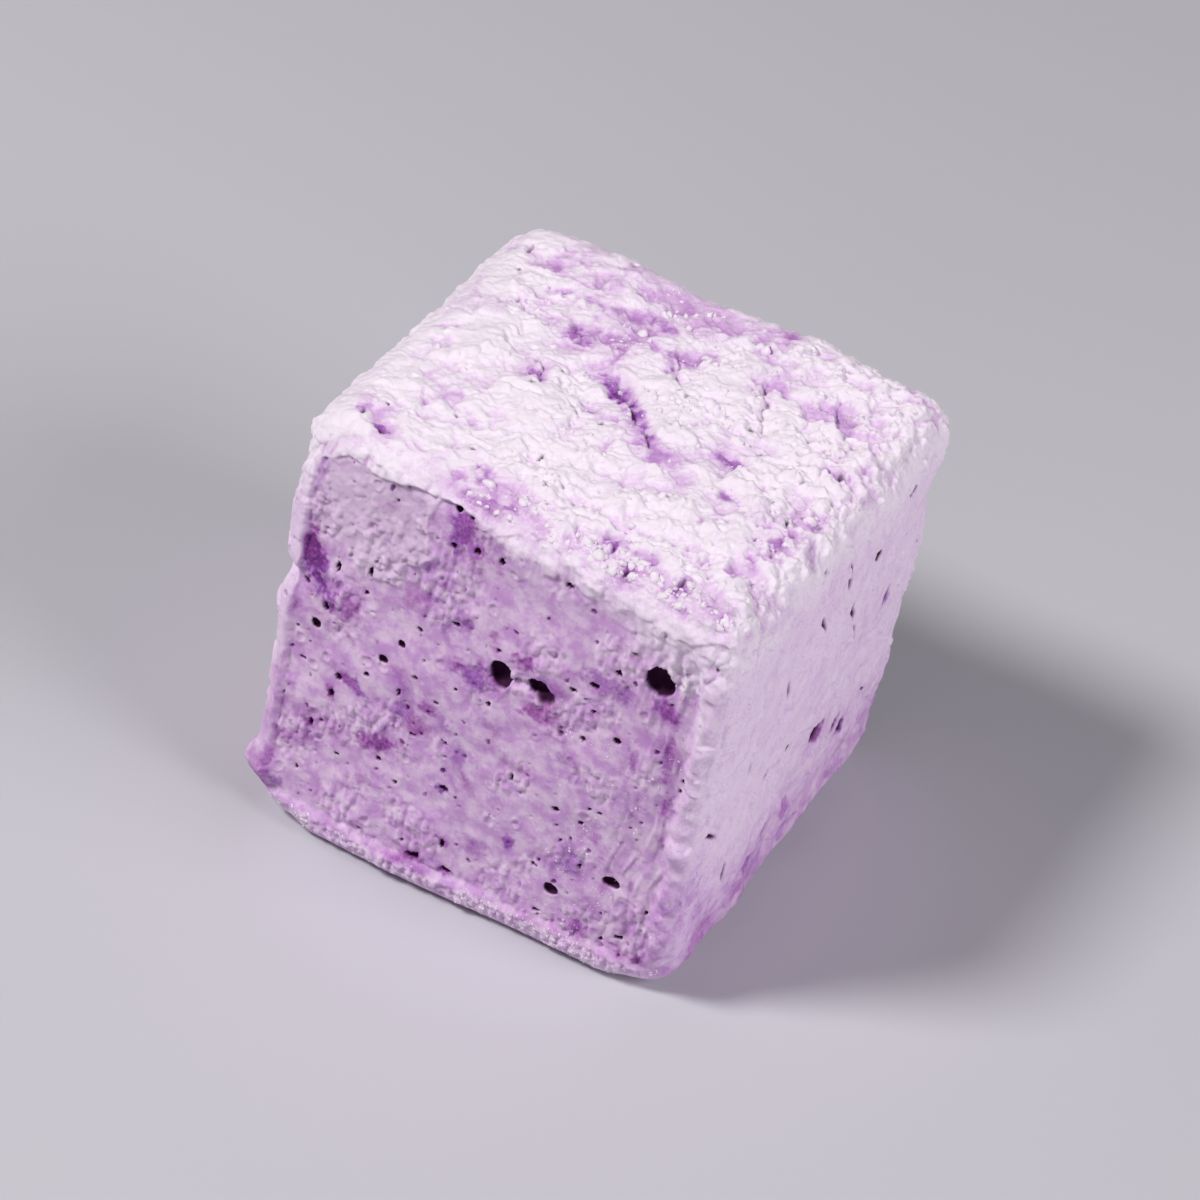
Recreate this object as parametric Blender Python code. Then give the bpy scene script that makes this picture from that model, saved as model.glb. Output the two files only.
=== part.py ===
"""A hand-cut cube of berry marshmallow: one solid block of set sugar foam, resting on its flat base.

The front (-Y) is a bare cut face, sunk a little inside a pale rim. A powdered crust wraps the other
sides and ends in a lip along the top of the cut face. Metres, +Z up, origin in the middle of the base.
"""

import math

import bmesh
import bpy
import numpy as np
from mathutils import Matrix, Vector

MM = 0.001

# Driving sizes, in millimetres.
WIDTH, DEPTH, HEIGHT = 30.0, 31.0, 29.0
HALF = np.array([WIDTH, DEPTH, HEIGHT]) / 2
CUT_ROUND = 1.4        # rounding of the edges round the cut face
CRUST_ROUND = 2.7      # rounding of the crusted edges and of the corners
BOW = 0.45             # how far the middle of a side stands out
TOP_BOW = 0.25         # the same on the top, which is nearly level
RIPPLE = 0.10          # slow unevenness of every side but the base

# How far each corner of the cut block drifted from the exact box: (x, y, z) by (right, back, top).
CORNER_DRIFT = {
    (-1, -1, -1): (0.2, -0.6, 0.0),
    (1, -1, -1): (0.15, -0.35, 0.0),
    (1, 1, -1): (0.2, 0.3, 0.0),
    (-1, 1, -1): (-0.3, 0.0, 0.0),
    (-1, -1, 1): (-0.6, 1.3, 1.5),
    (1, -1, 1): (-0.2, 0.05, 0.1),
    (1, 1, 1): (0.85, -0.4, 0.4),
    (-1, 1, 1): (-1.1, 0.15, 0.5),
}

# The cut face: foam sunk inside its rims.
FOAM_SUNK = 0.38
RIM_LEFT, RIM_RIGHT, RIM_BASE = -14.2, 13.7, 1.9
LIP_LINE = ((-15.0, 27.2), (-12.0, 28.9), (-7.5, 29.8), (0.0, 29.3), (8.0, 28.7), (12.0, 28.2), (15.0, 27.0))
RIDGE_X, RIDGE_WIDE, RIDGE_HIGH = 14.2, 0.8, 0.30

# Dents (-) and bumps (+) in the outline: middle (x, y, z), reach along each axis, height outwards.
SWELLS = (
    ((-15.2, -14.9, 3.6), (2.0, 2.0, 1.3), 1.15),      # ear at the lower left corner
    ((-15.4, -14.8, 18.8), (1.5, 1.8, 0.8), -1.05),    # nick in the left edge
    ((15.5, 15.0, 22.4), (2.0, 2.5, 0.9), -0.40),      # nicks down the back right edge
    ((15.3, 15.3, 14.4), (2.0, 2.5, 0.9), -0.35),
    ((6.5, 15.3, 29.5), (5.0, 2.5, 2.5), 0.35),        # fuller back edge of the top
)

# Burst bubbles wide enough to be shaped here: middle on the face, radii, and how deep the middle sits.
FRONT_BUBBLES = (
    ((10.4, 23.3), (0.85, 0.95), 0.15),
    ((0.5, 18.7), (0.68, 0.90), 0.15),
    ((3.3, 18.9), (0.72, 0.80), 0.10),
    ((-12.2, 15.7), (0.42, 0.46), 0.10),
    ((-7.3, 15.6), (0.44, 0.38), 0.05),
    ((6.4, 4.9), (0.52, 0.46), 0.00),
    ((10.1, 7.4), (0.62, 0.42), 0.05),
)
RIGHT_BUBBLES = (
    ((0.9, 11.3), (1.0, 0.9), 0.10),
    ((5.6, 8.5), (0.55, 0.6), 0.00),
    ((9.2, 25.3), (0.5, 0.5), 0.00),
    ((4.7, 23.1), (0.5, 0.45), 0.00),
)

# Tears in the top crust: start and end (x, y), half width, depth.
TOP_TEARS = (
    ((-2.9, 1.6), (2.2, -3.0), 0.75, 1.0),
    ((4.6, 8.0), (6.6, 3.0), 0.65, 0.6),
)

CELLS = 26             # grid cells along each edge of the block
CROWDING = 0.5         # how strongly the grid lines gather towards the edges
BUBBLE_SEGMENTS, BUBBLE_RINGS = 12, 8
TEAR_SEGMENTS, TEAR_RINGS = 14, 8
SEED = 7

LILAC = (0.72, 0.56, 0.74, 1.0)


def smooth(value):
    """Smoothstep of value, from 0 at 0 to 1 at 1."""
    t = np.clip(value, 0.0, 1.0)
    return t * t * (3.0 - 2.0 * t)


def rounding(points):
    """Edge radius at each point of the sharp box: tight round the cut face, wide on crust and corners."""
    x, y, z = points.T
    behind = smooth((y + HALF[1] - 3.0) / 5.0)
    near_top = 0.6 * smooth((z - HALF[2] + 4.0) / 3.0)
    corner = smooth((abs(x) - HALF[0] + 5.0) / 3.0) * smooth((abs(z) - HALF[2] + 5.0) / 3.0)
    share = np.maximum(np.maximum(behind, near_top), corner)
    return CUT_ROUND + (CRUST_ROUND - CUT_ROUND) * share


def rounded_box(unit):
    """Points of the unit cube carried onto the rounded box, and the outward normal there."""
    crowded = unit + CROWDING * np.sin(np.pi * unit) / np.pi
    sharp = crowded * HALF
    radius = rounding(sharp)[:, None]
    core = np.clip(sharp, radius - HALF, HALF - radius)
    normal = sharp - core
    normal /= np.linalg.norm(normal, axis=1)[:, None]
    return core + radius * normal, normal


def drift(points):
    """The corner drifts, blended over the block by distance to each corner."""
    share = points / HALF
    moved = np.zeros_like(points)
    for corner, offset in CORNER_DRIFT.items():
        weight = np.prod((1.0 + share * corner) / 2.0, axis=1)
        moved += weight[:, None] * offset
    return moved


def bow(points, normal):
    """Swelling of each side: full in its middle, none at its edges."""
    share = 1.0 - np.clip(points / HALF, -1.0, 1.0) ** 2
    sx, sy, sz = share.T
    nx, ny, nz = abs(normal.T)
    top = np.where(normal[:, 2] > 0, TOP_BOW, 0.0)
    return BOW * (nx * sy * sz + ny * sx * sz) + top * nz * sx * sy


def ripple(points):
    """Slow waves in seeded directions, about a third of the block long."""
    rng = np.random.default_rng(SEED)
    height = np.zeros(len(points))
    for _ in range(6):
        wave = rng.normal(size=3)
        wave *= rng.uniform(0.45, 0.9) / np.linalg.norm(wave)
        height += np.sin(points @ wave + rng.uniform(0.0, 2 * math.pi))
    return RIPPLE * height / 2.0


def cut_face(points, normal):
    """Height over the cut face: foam sunk between the rims, and the ridge along its right side."""
    x, _, z = points.T
    front = np.clip(-normal[:, 1], 0.0, 1.0) ** 2
    lip = np.interp(x, *zip(*LIP_LINE))
    inside = smooth((x - RIM_LEFT) / 0.9) * smooth((RIM_RIGHT - x) / 1.2)
    inside = inside * smooth((z - RIM_BASE) / 1.0) * smooth((lip - z) / 0.9)
    ridge = np.exp(-(((x - RIDGE_X) / RIDGE_WIDE) ** 2))
    return front * (RIDGE_HIGH * ridge - FOAM_SUNK * inside)


def swells(points):
    """Height of the dents and bumps, each a smooth mound over an ellipsoid."""
    height = np.zeros(len(points))
    for middle, reach, high in SWELLS:
        away = (points - middle) / reach
        height += high * np.exp(-(away**2).sum(axis=1))
    return height


def block_points(unit):
    """Every grid point of the unit cube carried onto the finished block, in millimetres."""
    points, normal = rounded_box(unit)
    height = bow(points, normal)
    points = points + drift(points)
    points[:, 2] += HALF[2]
    above_base = smooth((normal[:, 2] + 1.0) / 0.3)
    height = height + above_base * (ripple(points) + cut_face(points, normal) + swells(points))
    points = points + normal * height[:, None]
    points[:, 2] = np.where(normal[:, 2] < -0.999, 0.0, np.maximum(points[:, 2], 0.0))
    return points


def linked(name, mesh, collection):
    """A new object of this mesh in the collection."""
    piece = bpy.data.objects.new(name, mesh)
    collection.objects.link(piece)
    return piece


def sugar_foam():
    """Matte lilac sugar foam."""
    material = bpy.data.materials.new("sugar_foam")
    material.use_nodes = True
    shader = material.node_tree.nodes["Principled BSDF"]
    shader.inputs["Base Color"].default_value = LILAC
    shader.inputs["Roughness"].default_value = 0.85
    shader.inputs["Metallic"].default_value = 0.0
    material.diffuse_color = LILAC
    return material


def cut_block(collection):
    """The block itself: a gridded cube whose points are carried onto the uneven rounded box."""
    shape = bmesh.new()
    bmesh.ops.create_cube(shape, size=2.0)
    bmesh.ops.subdivide_edges(shape, edges=shape.edges[:], cuts=CELLS - 1, use_grid_fill=True)
    unit = np.array([vertex.co for vertex in shape.verts])
    for vertex, point in zip(shape.verts, block_points(unit) * MM):
        vertex.co = Vector(point)
    bmesh.ops.recalc_face_normals(shape, faces=shape.faces[:])
    mesh = bpy.data.meshes.new("marshmallow")
    shape.to_mesh(mesh)
    shape.free()
    mesh.materials.append(sugar_foam())
    mesh.shade_smooth()
    return linked("marshmallow", mesh, collection)


def surface_point(block, start, heading):
    """Where a line from start along heading, both in metres, meets the block."""
    hit, point, _, _ = block.ray_cast(start, heading)
    if not hit:
        raise ValueError("a cutter lies off the block")
    return point


def bubble_cutter(name, middle, radii, collection):
    """A closed ellipsoid, in metres, that scoops one burst bubble."""
    shape = bmesh.new()
    size = Matrix.Diagonal((*radii, 1.0))
    bmesh.ops.create_uvsphere(
        shape, u_segments=BUBBLE_SEGMENTS, v_segments=BUBBLE_RINGS, radius=1.0, matrix=size
    )
    return finished_cutter(name, shape, Matrix.Translation(middle), collection)


def tear_cutter(name, start, end, half_width, depth, collection):
    """A ball stretched along the tear, so its cut is a boat: deepest in the middle, pointed at its ends."""
    run = Vector(end) - Vector(start)
    shape = bmesh.new()
    bmesh.ops.create_uvsphere(shape, u_segments=TEAR_SEGMENTS, v_segments=TEAR_RINGS, radius=1.0)
    stretch = Matrix.Diagonal((run.length / 2, half_width, depth, 1.0))
    turn = Matrix.Rotation(math.atan2(run.y, run.x), 4, "Z")
    bmesh.ops.transform(shape, matrix=Matrix.Scale(MM, 4) @ turn @ stretch, verts=shape.verts[:])
    middle = (Vector(start) + Vector(end)) / 2 * MM
    return finished_cutter(name, shape, Matrix.Translation((middle.x, middle.y, 0.0)), collection)


def finished_cutter(name, shape, place, collection):
    """The cutter's object, kept out of renders and drawn as wires."""
    bmesh.ops.recalc_face_normals(shape, faces=shape.faces[:])
    mesh = bpy.data.meshes.new(name)
    shape.to_mesh(mesh)
    shape.free()
    cutter = linked(name, mesh, collection)
    cutter.matrix_world = place
    cutter.hide_render = True
    cutter.display_type = "WIRE"
    return cutter


def make_cutters(block, collection):
    """One cutter for each open bubble and each tear, set on the block's own surface."""
    far = 2 * WIDTH * MM
    for number, ((x, z), (wide, high), sunk) in enumerate(FRONT_BUBBLES, 1):
        at = surface_point(block, Vector((x * MM, -far, z * MM)), Vector((0, 1, 0)))
        at.y += sunk * MM
        radii = np.array((wide, max(wide, high), high)) * MM
        bubble_cutter(f"front_bubble_{number}", at, radii, collection)
    for number, ((y, z), (wide, high), sunk) in enumerate(RIGHT_BUBBLES, 1):
        at = surface_point(block, Vector((far, y * MM, z * MM)), Vector((-1, 0, 0)))
        at.x -= sunk * MM
        radii = np.array((max(wide, high), wide, high)) * MM
        bubble_cutter(f"right_bubble_{number}", at, radii, collection)
    for number, (start, end, half_width, depth) in enumerate(TOP_TEARS, 1):
        cutter = tear_cutter(f"top_tear_{number}", start, end, half_width, depth, collection)
        middle = cutter.location
        at = surface_point(block, Vector((middle.x, middle.y, far)), Vector((0, 0, -1)))
        cutter.location.z = at.z


def main():
    """Clears the scene and builds the block with its cutters."""
    for obj in list(bpy.data.objects):
        bpy.data.objects.remove(obj, do_unlink=True)
    parts = bpy.data.collections.new("marshmallow_cube")
    cutters = bpy.data.collections.new("cutters")
    for collection in (parts, cutters):
        bpy.context.scene.collection.children.link(collection)
    block = cut_block(parts)
    bpy.context.view_layer.update()
    make_cutters(block, cutters)
    opened = block.modifiers.new("open bubbles and tears", "BOOLEAN")
    opened.operand_type = "COLLECTION"
    opened.collection = cutters
    opened.operation = "DIFFERENCE"
    opened.solver = "EXACT"


main()
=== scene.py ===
"""Looks of a hand-cut berry marshmallow: a cube of set sugar foam with a powdered crust.

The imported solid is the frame. Six skins, one for each side, stand for it. Each is a fine grid carried
onto the same uneven rounded block and then raised or sunk along the block's normals, so that bubbles,
flakes, tears and streaks are real shape. Lengths are millimetres until a mesh is written.
"""

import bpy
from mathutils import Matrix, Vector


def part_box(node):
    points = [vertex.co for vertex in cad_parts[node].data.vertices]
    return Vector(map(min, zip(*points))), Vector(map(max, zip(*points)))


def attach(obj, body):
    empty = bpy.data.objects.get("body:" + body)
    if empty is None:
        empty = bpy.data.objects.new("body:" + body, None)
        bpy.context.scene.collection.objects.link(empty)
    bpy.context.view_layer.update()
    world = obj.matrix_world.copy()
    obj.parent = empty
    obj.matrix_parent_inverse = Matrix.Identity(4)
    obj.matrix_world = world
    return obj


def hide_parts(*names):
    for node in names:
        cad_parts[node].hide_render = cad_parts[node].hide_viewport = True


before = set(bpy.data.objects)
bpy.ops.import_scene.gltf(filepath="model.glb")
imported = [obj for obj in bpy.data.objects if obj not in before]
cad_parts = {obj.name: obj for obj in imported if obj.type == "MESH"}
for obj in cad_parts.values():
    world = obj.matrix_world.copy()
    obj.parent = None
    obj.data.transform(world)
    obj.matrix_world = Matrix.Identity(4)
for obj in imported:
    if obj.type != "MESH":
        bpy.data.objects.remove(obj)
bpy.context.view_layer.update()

import logging
import math
from dataclasses import dataclass, field
from enum import Enum

import bpy
import numpy as np
from mathutils import Matrix, Vector

MM = 0.001
NODE, SLOT, BODY = "marshmallow", "sugar_foam", "root"
SEED = 7
Array = np.ndarray

log = logging.getLogger("marshmallow")


# ---------------------------------------------------------------- curves and noise


def smooth(value: Array) -> Array:
    """Smoothstep of value, from 0 at 0 to 1 at 1."""
    t = np.clip(value, 0.0, 1.0)
    return t * t * (3.0 - 2.0 * t)


def hashed(cell: Array, seed: int) -> Array:
    """Random whole numbers for cells: coordinates times large odd numbers, combined by exclusive or, mixed.

    Args:
        cell: whole-number coordinates, one row a cell.
        seed: a different seed gives different numbers.

    Returns:
        One unsigned 32-bit number for each row.
    """
    factors = np.array([0x8DA6B343, 0xD8163841, 0xCB1AB31F], np.uint32)
    parts = cell.astype(np.int64).astype(np.uint32) * factors
    mixed = parts[..., 0] ^ parts[..., 1] ^ parts[..., 2]
    mixed = mixed ^ np.uint32((seed * 0x9E3779B1) & 0xFFFFFFFF)
    mixed = (mixed ^ (mixed >> np.uint32(16))) * np.uint32(0x7FEB352D)
    mixed = (mixed ^ (mixed >> np.uint32(15))) * np.uint32(0x846CA68B)
    return mixed ^ (mixed >> np.uint32(16))


def three_shares(mixed: Array) -> Array:
    """Three numbers from 0 to 1 for each hashed number: its low, middle and high ten bits."""
    bits = np.stack([mixed, mixed >> np.uint32(10), mixed >> np.uint32(20)], axis=-1)
    return (bits & np.uint32(1023)).astype(np.float64) / 1023.0


def noise(point: Array, size: float | tuple[float, float, float], seed: int) -> Array:
    """Gradient noise: random slopes at the corners of a lattice, blended between them by a quintic fade.

    Args:
        point: places, one row each.
        size: the lattice's spacing, one length or one for each axis.
        seed: which noise.

    Returns:
        A value of about -1 to 1 for each row.
    """
    place = point / size
    low = np.floor(place)
    inside = place - low
    fade = inside**3 * (inside * (inside * 6.0 - 15.0) + 10.0)
    total = np.zeros(len(point))
    for corner in np.ndindex(2, 2, 2):
        slope = three_shares(hashed(low + corner, seed)) * 2.0 - 1.0
        weight = np.prod(np.where(corner, fade, 1.0 - fade), axis=1)
        total += weight * ((inside - corner) * slope).sum(axis=1)
    return total * 1.7


def layered(point: Array, size: float, seed: int, layers: int = 3, gain: float = 0.5) -> Array:
    """Noise plus copies of it at half the size and gain times the height, layers in all.

    Args:
        point: places in millimetres, one row each.
        size: how far apart the hills of the largest noise lie.
        seed: which noise.
        layers: how many noises.
        gain: how high each noise is against the one before it.

    Returns:
        Their sum, about -1 to 1.
    """
    total, high, reach = np.zeros(len(point)), 1.0, 0.0
    for layer in range(layers):
        total += high * noise(point, size / 2**layer, seed + 31 * layer)
        reach += high
        high *= gain
    return total / reach * 1.3


def warped(point: Array, size: float, reach: float, seed: int) -> Array:
    """Places pushed about by three noises of this size, by up to reach."""
    push = np.stack([noise(point, size, seed + axis) for axis in range(3)], axis=1)
    return point + reach * push


@dataclass
class Cells:
    """Nearest of one random spot for each cube of space: how lumps, flakes and plates are laid out.

    near is the distance to the nearest spot over the cube's size, and mark is that spot's own random number
    from 0 to 1.
    """

    near: Array
    mark: Array

    @classmethod
    def around(cls, point: Array, size: float, seed: int) -> "Cells":
        """Looks through the 27 cubes round each point for its nearest spot.

        Args:
            point: places, one row each.
            size: the cubes' edge.
            seed: which spots.

        Returns:
            The distance to that spot, and its mark.
        """
        place = point / size
        low = np.floor(place)
        near = np.full(len(point), 9.0)
        mark = near.copy()
        for step in np.ndindex(3, 3, 3):
            cell = low + step - 1.0
            mixed = hashed(cell, seed)
            way = cell + three_shares(mixed) - place
            away = np.linalg.norm(way, axis=1)
            closer = away < near
            mark[closer] = (mixed[closer] >> np.uint32(7)) % 1021 / 1020.0
            near = np.minimum(near, away)
        return cls(near, mark)

    def lumps(self, fill: float = 0.62) -> Array:
        """Rounded lumps: the top half of a ball over each spot, 1 at its crown and 0 off it."""
        return np.sqrt(np.clip(1.0 - (self.near / fill) ** 2, 0.0, 1.0))

    def rings(self, radius: float, wide: float, share: float) -> Array:
        """A ring round some spots: 1 on a circle of this radius, in this share of the cells."""
        return np.exp(-(((self.near - radius) / wide) ** 2)) * (self.mark < share)


# ---------------------------------------------------------------- the block


class Side(Enum):
    """The six sides: the axis that the side faces, its sign, and its across and up axes on the grid."""

    FRONT = (1, -1, 0, 2)
    BACK = (1, 1, 0, 2)
    LEFT = (0, -1, 1, 2)
    RIGHT = (0, 1, 1, 2)
    TOP = (2, 1, 0, 1)
    BASE = (2, -1, 0, 1)

    @property
    def outward(self) -> Array:
        """The side's outward direction."""
        direction = np.zeros(3)
        direction[self.value[0]] = self.value[1]
        return direction

    def facing(self, normal: Array) -> Array:
        """How far each normal faces this side: the square of its share, so the six add up to 1."""
        return np.clip(normal @ self.outward, 0.0, 1.0) ** 2


@dataclass(frozen=True)
class Patch:
    """A stretch of the bare block: places in millimetres over the base, and outward normals."""

    point: Array
    normal: Array

    def part(self, chosen: Array) -> "Patch":
        """The chosen rows alone."""
        return Patch(self.point[chosen], self.normal[chosen])


@dataclass(frozen=True)
class Swell:
    """A dent or bump in the outline: a smooth mound of height high over an ellipsoid."""

    middle: tuple[float, float, float]
    reach: tuple[float, float, float]
    high: float

    def height(self, point: Array) -> Array:
        """Height at each point: high times e to minus the squared distance in reaches."""
        away = (point - self.middle) / self.reach
        return self.high * np.exp(-(away**2).sum(axis=1))


@dataclass(frozen=True)
class Block:
    """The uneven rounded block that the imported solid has, before bubbles and crust.

    half is half the sharp box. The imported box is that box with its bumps, which stand out by bumps in all
    along each axis.
    """

    half: Array
    cut_round: float = 1.4
    crust_round: float = 2.7
    bow_high: float = 0.45
    top_bow: float = 0.25
    ripple_high: float = 0.10
    corner_drift: tuple = (
        ((-1, -1, -1), (0.2, -0.6, 0.0)),
        ((1, -1, -1), (0.15, -0.35, 0.0)),
        ((1, 1, -1), (0.2, 0.3, 0.0)),
        ((-1, 1, -1), (-0.3, 0.0, 0.0)),
        ((-1, -1, 1), (-0.6, 1.3, 1.5)),
        ((1, -1, 1), (-0.2, 0.05, 0.1)),
        ((1, 1, 1), (0.85, -0.4, 0.4)),
        ((-1, 1, 1), (-1.1, 0.15, 0.5)),
    )
    swells: tuple[Swell, ...] = (
        Swell((-15.2, -14.9, 3.6), (2.0, 2.0, 1.3), 1.15),
        Swell((-15.4, -14.8, 18.8), (1.5, 1.8, 0.8), -1.05),
        Swell((15.5, 15.0, 22.4), (2.0, 2.5, 0.9), -0.40),
        Swell((15.3, 15.3, 14.4), (2.0, 2.5, 0.9), -0.35),
        Swell((6.5, 15.3, 29.5), (5.0, 2.5, 2.5), 0.35),
    )

    @classmethod
    def packed(cls) -> "Block":
        """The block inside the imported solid's box."""
        bumps = np.array([2.025, 1.273, 1.334])
        low, high = (np.array(corner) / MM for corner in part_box(NODE))
        return cls((high - low - bumps) / 2.0)

    def rounding(self, point: Array) -> Array:
        """Edge radius at each point of the sharp box: tight round the cut face, wide elsewhere.

        Args:
            point: places in millimetres, one row each.

        Returns:
            The radius.
        """
        x, y, z = point.T
        half = self.half
        behind = smooth((y + half[1] - 3.0) / 5.0)
        near_top = 0.6 * smooth((z - half[2] + 4.0) / 3.0)
        corner = smooth((abs(x) - half[0] + 5.0) / 3.0) * smooth((abs(z) - half[2] + 5.0) / 3.0)
        share = np.maximum(np.maximum(behind, near_top), corner)
        return self.cut_round + (self.crust_round - self.cut_round) * share

    def ripple(self, point: Array) -> Array:
        """Slow unevenness: six sine waves in seeded directions, added up.

        Args:
            point: places in millimetres, one row each.

        Returns:
            Height in millimetres.
        """
        rng = np.random.default_rng(SEED)
        height = np.zeros(len(point))
        for _ in range(6):
            wave = rng.normal(size=3)
            wave *= rng.uniform(0.45, 0.9) / np.linalg.norm(wave)
            height += np.sin(point @ wave + rng.uniform(0.0, 2 * math.pi))
        return self.ripple_high * height / 2.0

    def patch(self, unit: Array) -> Patch:
        """Points of the unit cube carried onto the block.

        The sharp box is pulled in to a core a radius smaller, and each point goes that radius out from the
        core. Corner drifts are blended in by distance. Bow, ripple and swells raise it along the normal.

        Args:
            unit: places on the cube from -1 to 1, one row each.

        Returns:
            The block's surface there.
        """
        half = self.half
        sharp = unit * half
        radius = self.rounding(sharp)[:, None]
        core = np.clip(sharp, radius - half, half - radius)
        normal = sharp - core
        normal /= np.linalg.norm(normal, axis=1)[:, None]
        point = core + radius * normal
        share = 1.0 - np.clip(point / half, -1.0, 1.0) ** 2
        facing = abs(normal)
        top = np.where(normal[:, 2] > 0, self.top_bow, 0.0) * facing[:, 2] * share[:, 0] * share[:, 1]
        sides = facing[:, 0] * share[:, 1] + facing[:, 1] * share[:, 0]
        height = self.bow_high * sides * share[:, 2] + top
        drifted = point.copy()
        for corner, offset in self.corner_drift:
            weight = np.prod((1.0 + point / half * corner) / 2.0, axis=1)
            drifted += weight[:, None] * offset
        drifted[:, 2] += half[2]
        raised = self.ripple(drifted) + sum(swell.height(drifted) for swell in self.swells)
        height = height + smooth((normal[:, 2] + 1.0) / 0.3) * raised
        drifted += normal * height[:, None]
        drifted[:, 2] = np.where(normal[:, 2] < -0.999, 0.0, np.maximum(drifted[:, 2], 0.0))
        return Patch(drifted, normal)


# ---------------------------------------------------------------- listed features


@dataclass(frozen=True)
class Bubble:
    """A burst bubble at (across, up) on a side: half its width and height, and how deep its middle sits."""

    across: float
    up: float
    wide: float
    high: float
    sunk: float = 0.1

    def depth(self, across: Array, up: Array) -> Array:
        """Depth of an ellipsoid's far wall under the surface, and nothing outside its opening."""
        ring = ((across - self.across) / self.wide) ** 2 + ((up - self.up) / self.high) ** 2
        deep = max(self.wide, self.high) * np.sqrt(np.clip(1.0 - 0.85 * ring, 0.0, 1.0)) + self.sunk
        return np.where(ring < 1.0, np.clip(deep, 0.0, None), 0.0)


@dataclass(frozen=True)
class Stain:
    """A berry-coloured patch: a mound over an ellipse leaning by lean degrees, its border broken up."""

    across: float
    up: float
    wide: float
    high: float
    strong: float = 1.0
    lean: float = 0.0

    def share(self, across: Array, up: Array, ragged: Array) -> Array:
        """Strength at each point: a wide soft halo, and a broken core near the middle.

        Args:
            across: the side's level coordinate.
            up: the side's upright coordinate.
            ragged: noise that breaks the border, about -1 to 1.

        Returns:
            A share from 0 to 1.
        """
        turn = math.radians(self.lean)
        dx, dy = across - self.across, up - self.up
        along = (dx * math.cos(turn) + dy * math.sin(turn)) / self.wide
        over = (-dx * math.sin(turn) + dy * math.cos(turn)) / self.high
        square = along**2 + over**2
        halo = np.exp(-square / 2.8) * (0.75 + 0.35 * ragged)
        core = smooth(1.5 * np.exp(-square) - 0.45 + 0.55 * ragged)
        return self.strong * np.clip(0.46 * halo + 0.75 * core, 0.0, 1.0)


@dataclass(frozen=True)
class Tear:
    """A tear from one place to another: a steep wall on its left as it runs, a slope on its right."""

    start: tuple[float, float]
    end: tuple[float, float]
    wide: float
    deep: float
    steep: float = 0.12
    stained: float = 1.0

    def depth(self, across: Array, up: Array, ragged: Array) -> Array:
        """Depth at each point: full at the wall, less across the slope, nothing at both ends.

        Args:
            across: the side's level coordinate.
            up: the side's upright coordinate.
            ragged: noise that breaks the border, about -1 to 1.

        Returns:
            Depth in millimetres.
        """
        start, run = np.array(self.start), np.array(self.end) - self.start
        length = np.linalg.norm(run)
        run = run / length
        dx, dy = across - start[0], up - start[1]
        along = (dx * run[0] + dy * run[1]) / length
        over = dx * run[1] - dy * run[0] + 0.25 * ragged
        profile = smooth(over / self.steep) * np.exp(-((np.clip(over, 0.0, None) / self.wide) ** 2))
        return self.deep * profile * smooth(along / 0.2) * smooth((1.0 - along) / 0.2)


@dataclass(frozen=True)
class Slit:
    """A thin dark crack from one place to another: a narrow notch along the line between them."""

    start: tuple[float, float]
    end: tuple[float, float]
    wide: float = 0.17
    deep: float = 0.5

    def depth(self, across: Array, up: Array, ragged: Array) -> Array:
        """Depth at each point: e to minus the squared distance from the line in widths.

        Args:
            across: the side's level coordinate.
            up: the side's upright coordinate.
            ragged: noise that breaks the border, about -1 to 1.

        Returns:
            Depth in millimetres.
        """
        start, run = np.array(self.start), np.array(self.end) - self.start
        square = run @ run
        dx, dy = across - start[0], up - start[1]
        along = np.clip((dx * run[0] + dy * run[1]) / square, 0.0, 1.0)
        away = np.hypot(dx - along * run[0], dy - along * run[1]) + 0.05 * ragged
        taper = np.sqrt(np.clip(1.0 - (2.0 * along - 1.0) ** 2, 0.02, 1.0))
        return self.deep * taper * np.exp(-((away / (self.wide * taper)) ** 2))


# ---------------------------------------------------------------- relief


LOOKS = ("powder", "berry", "film", "hole_shade", "hue")


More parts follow.
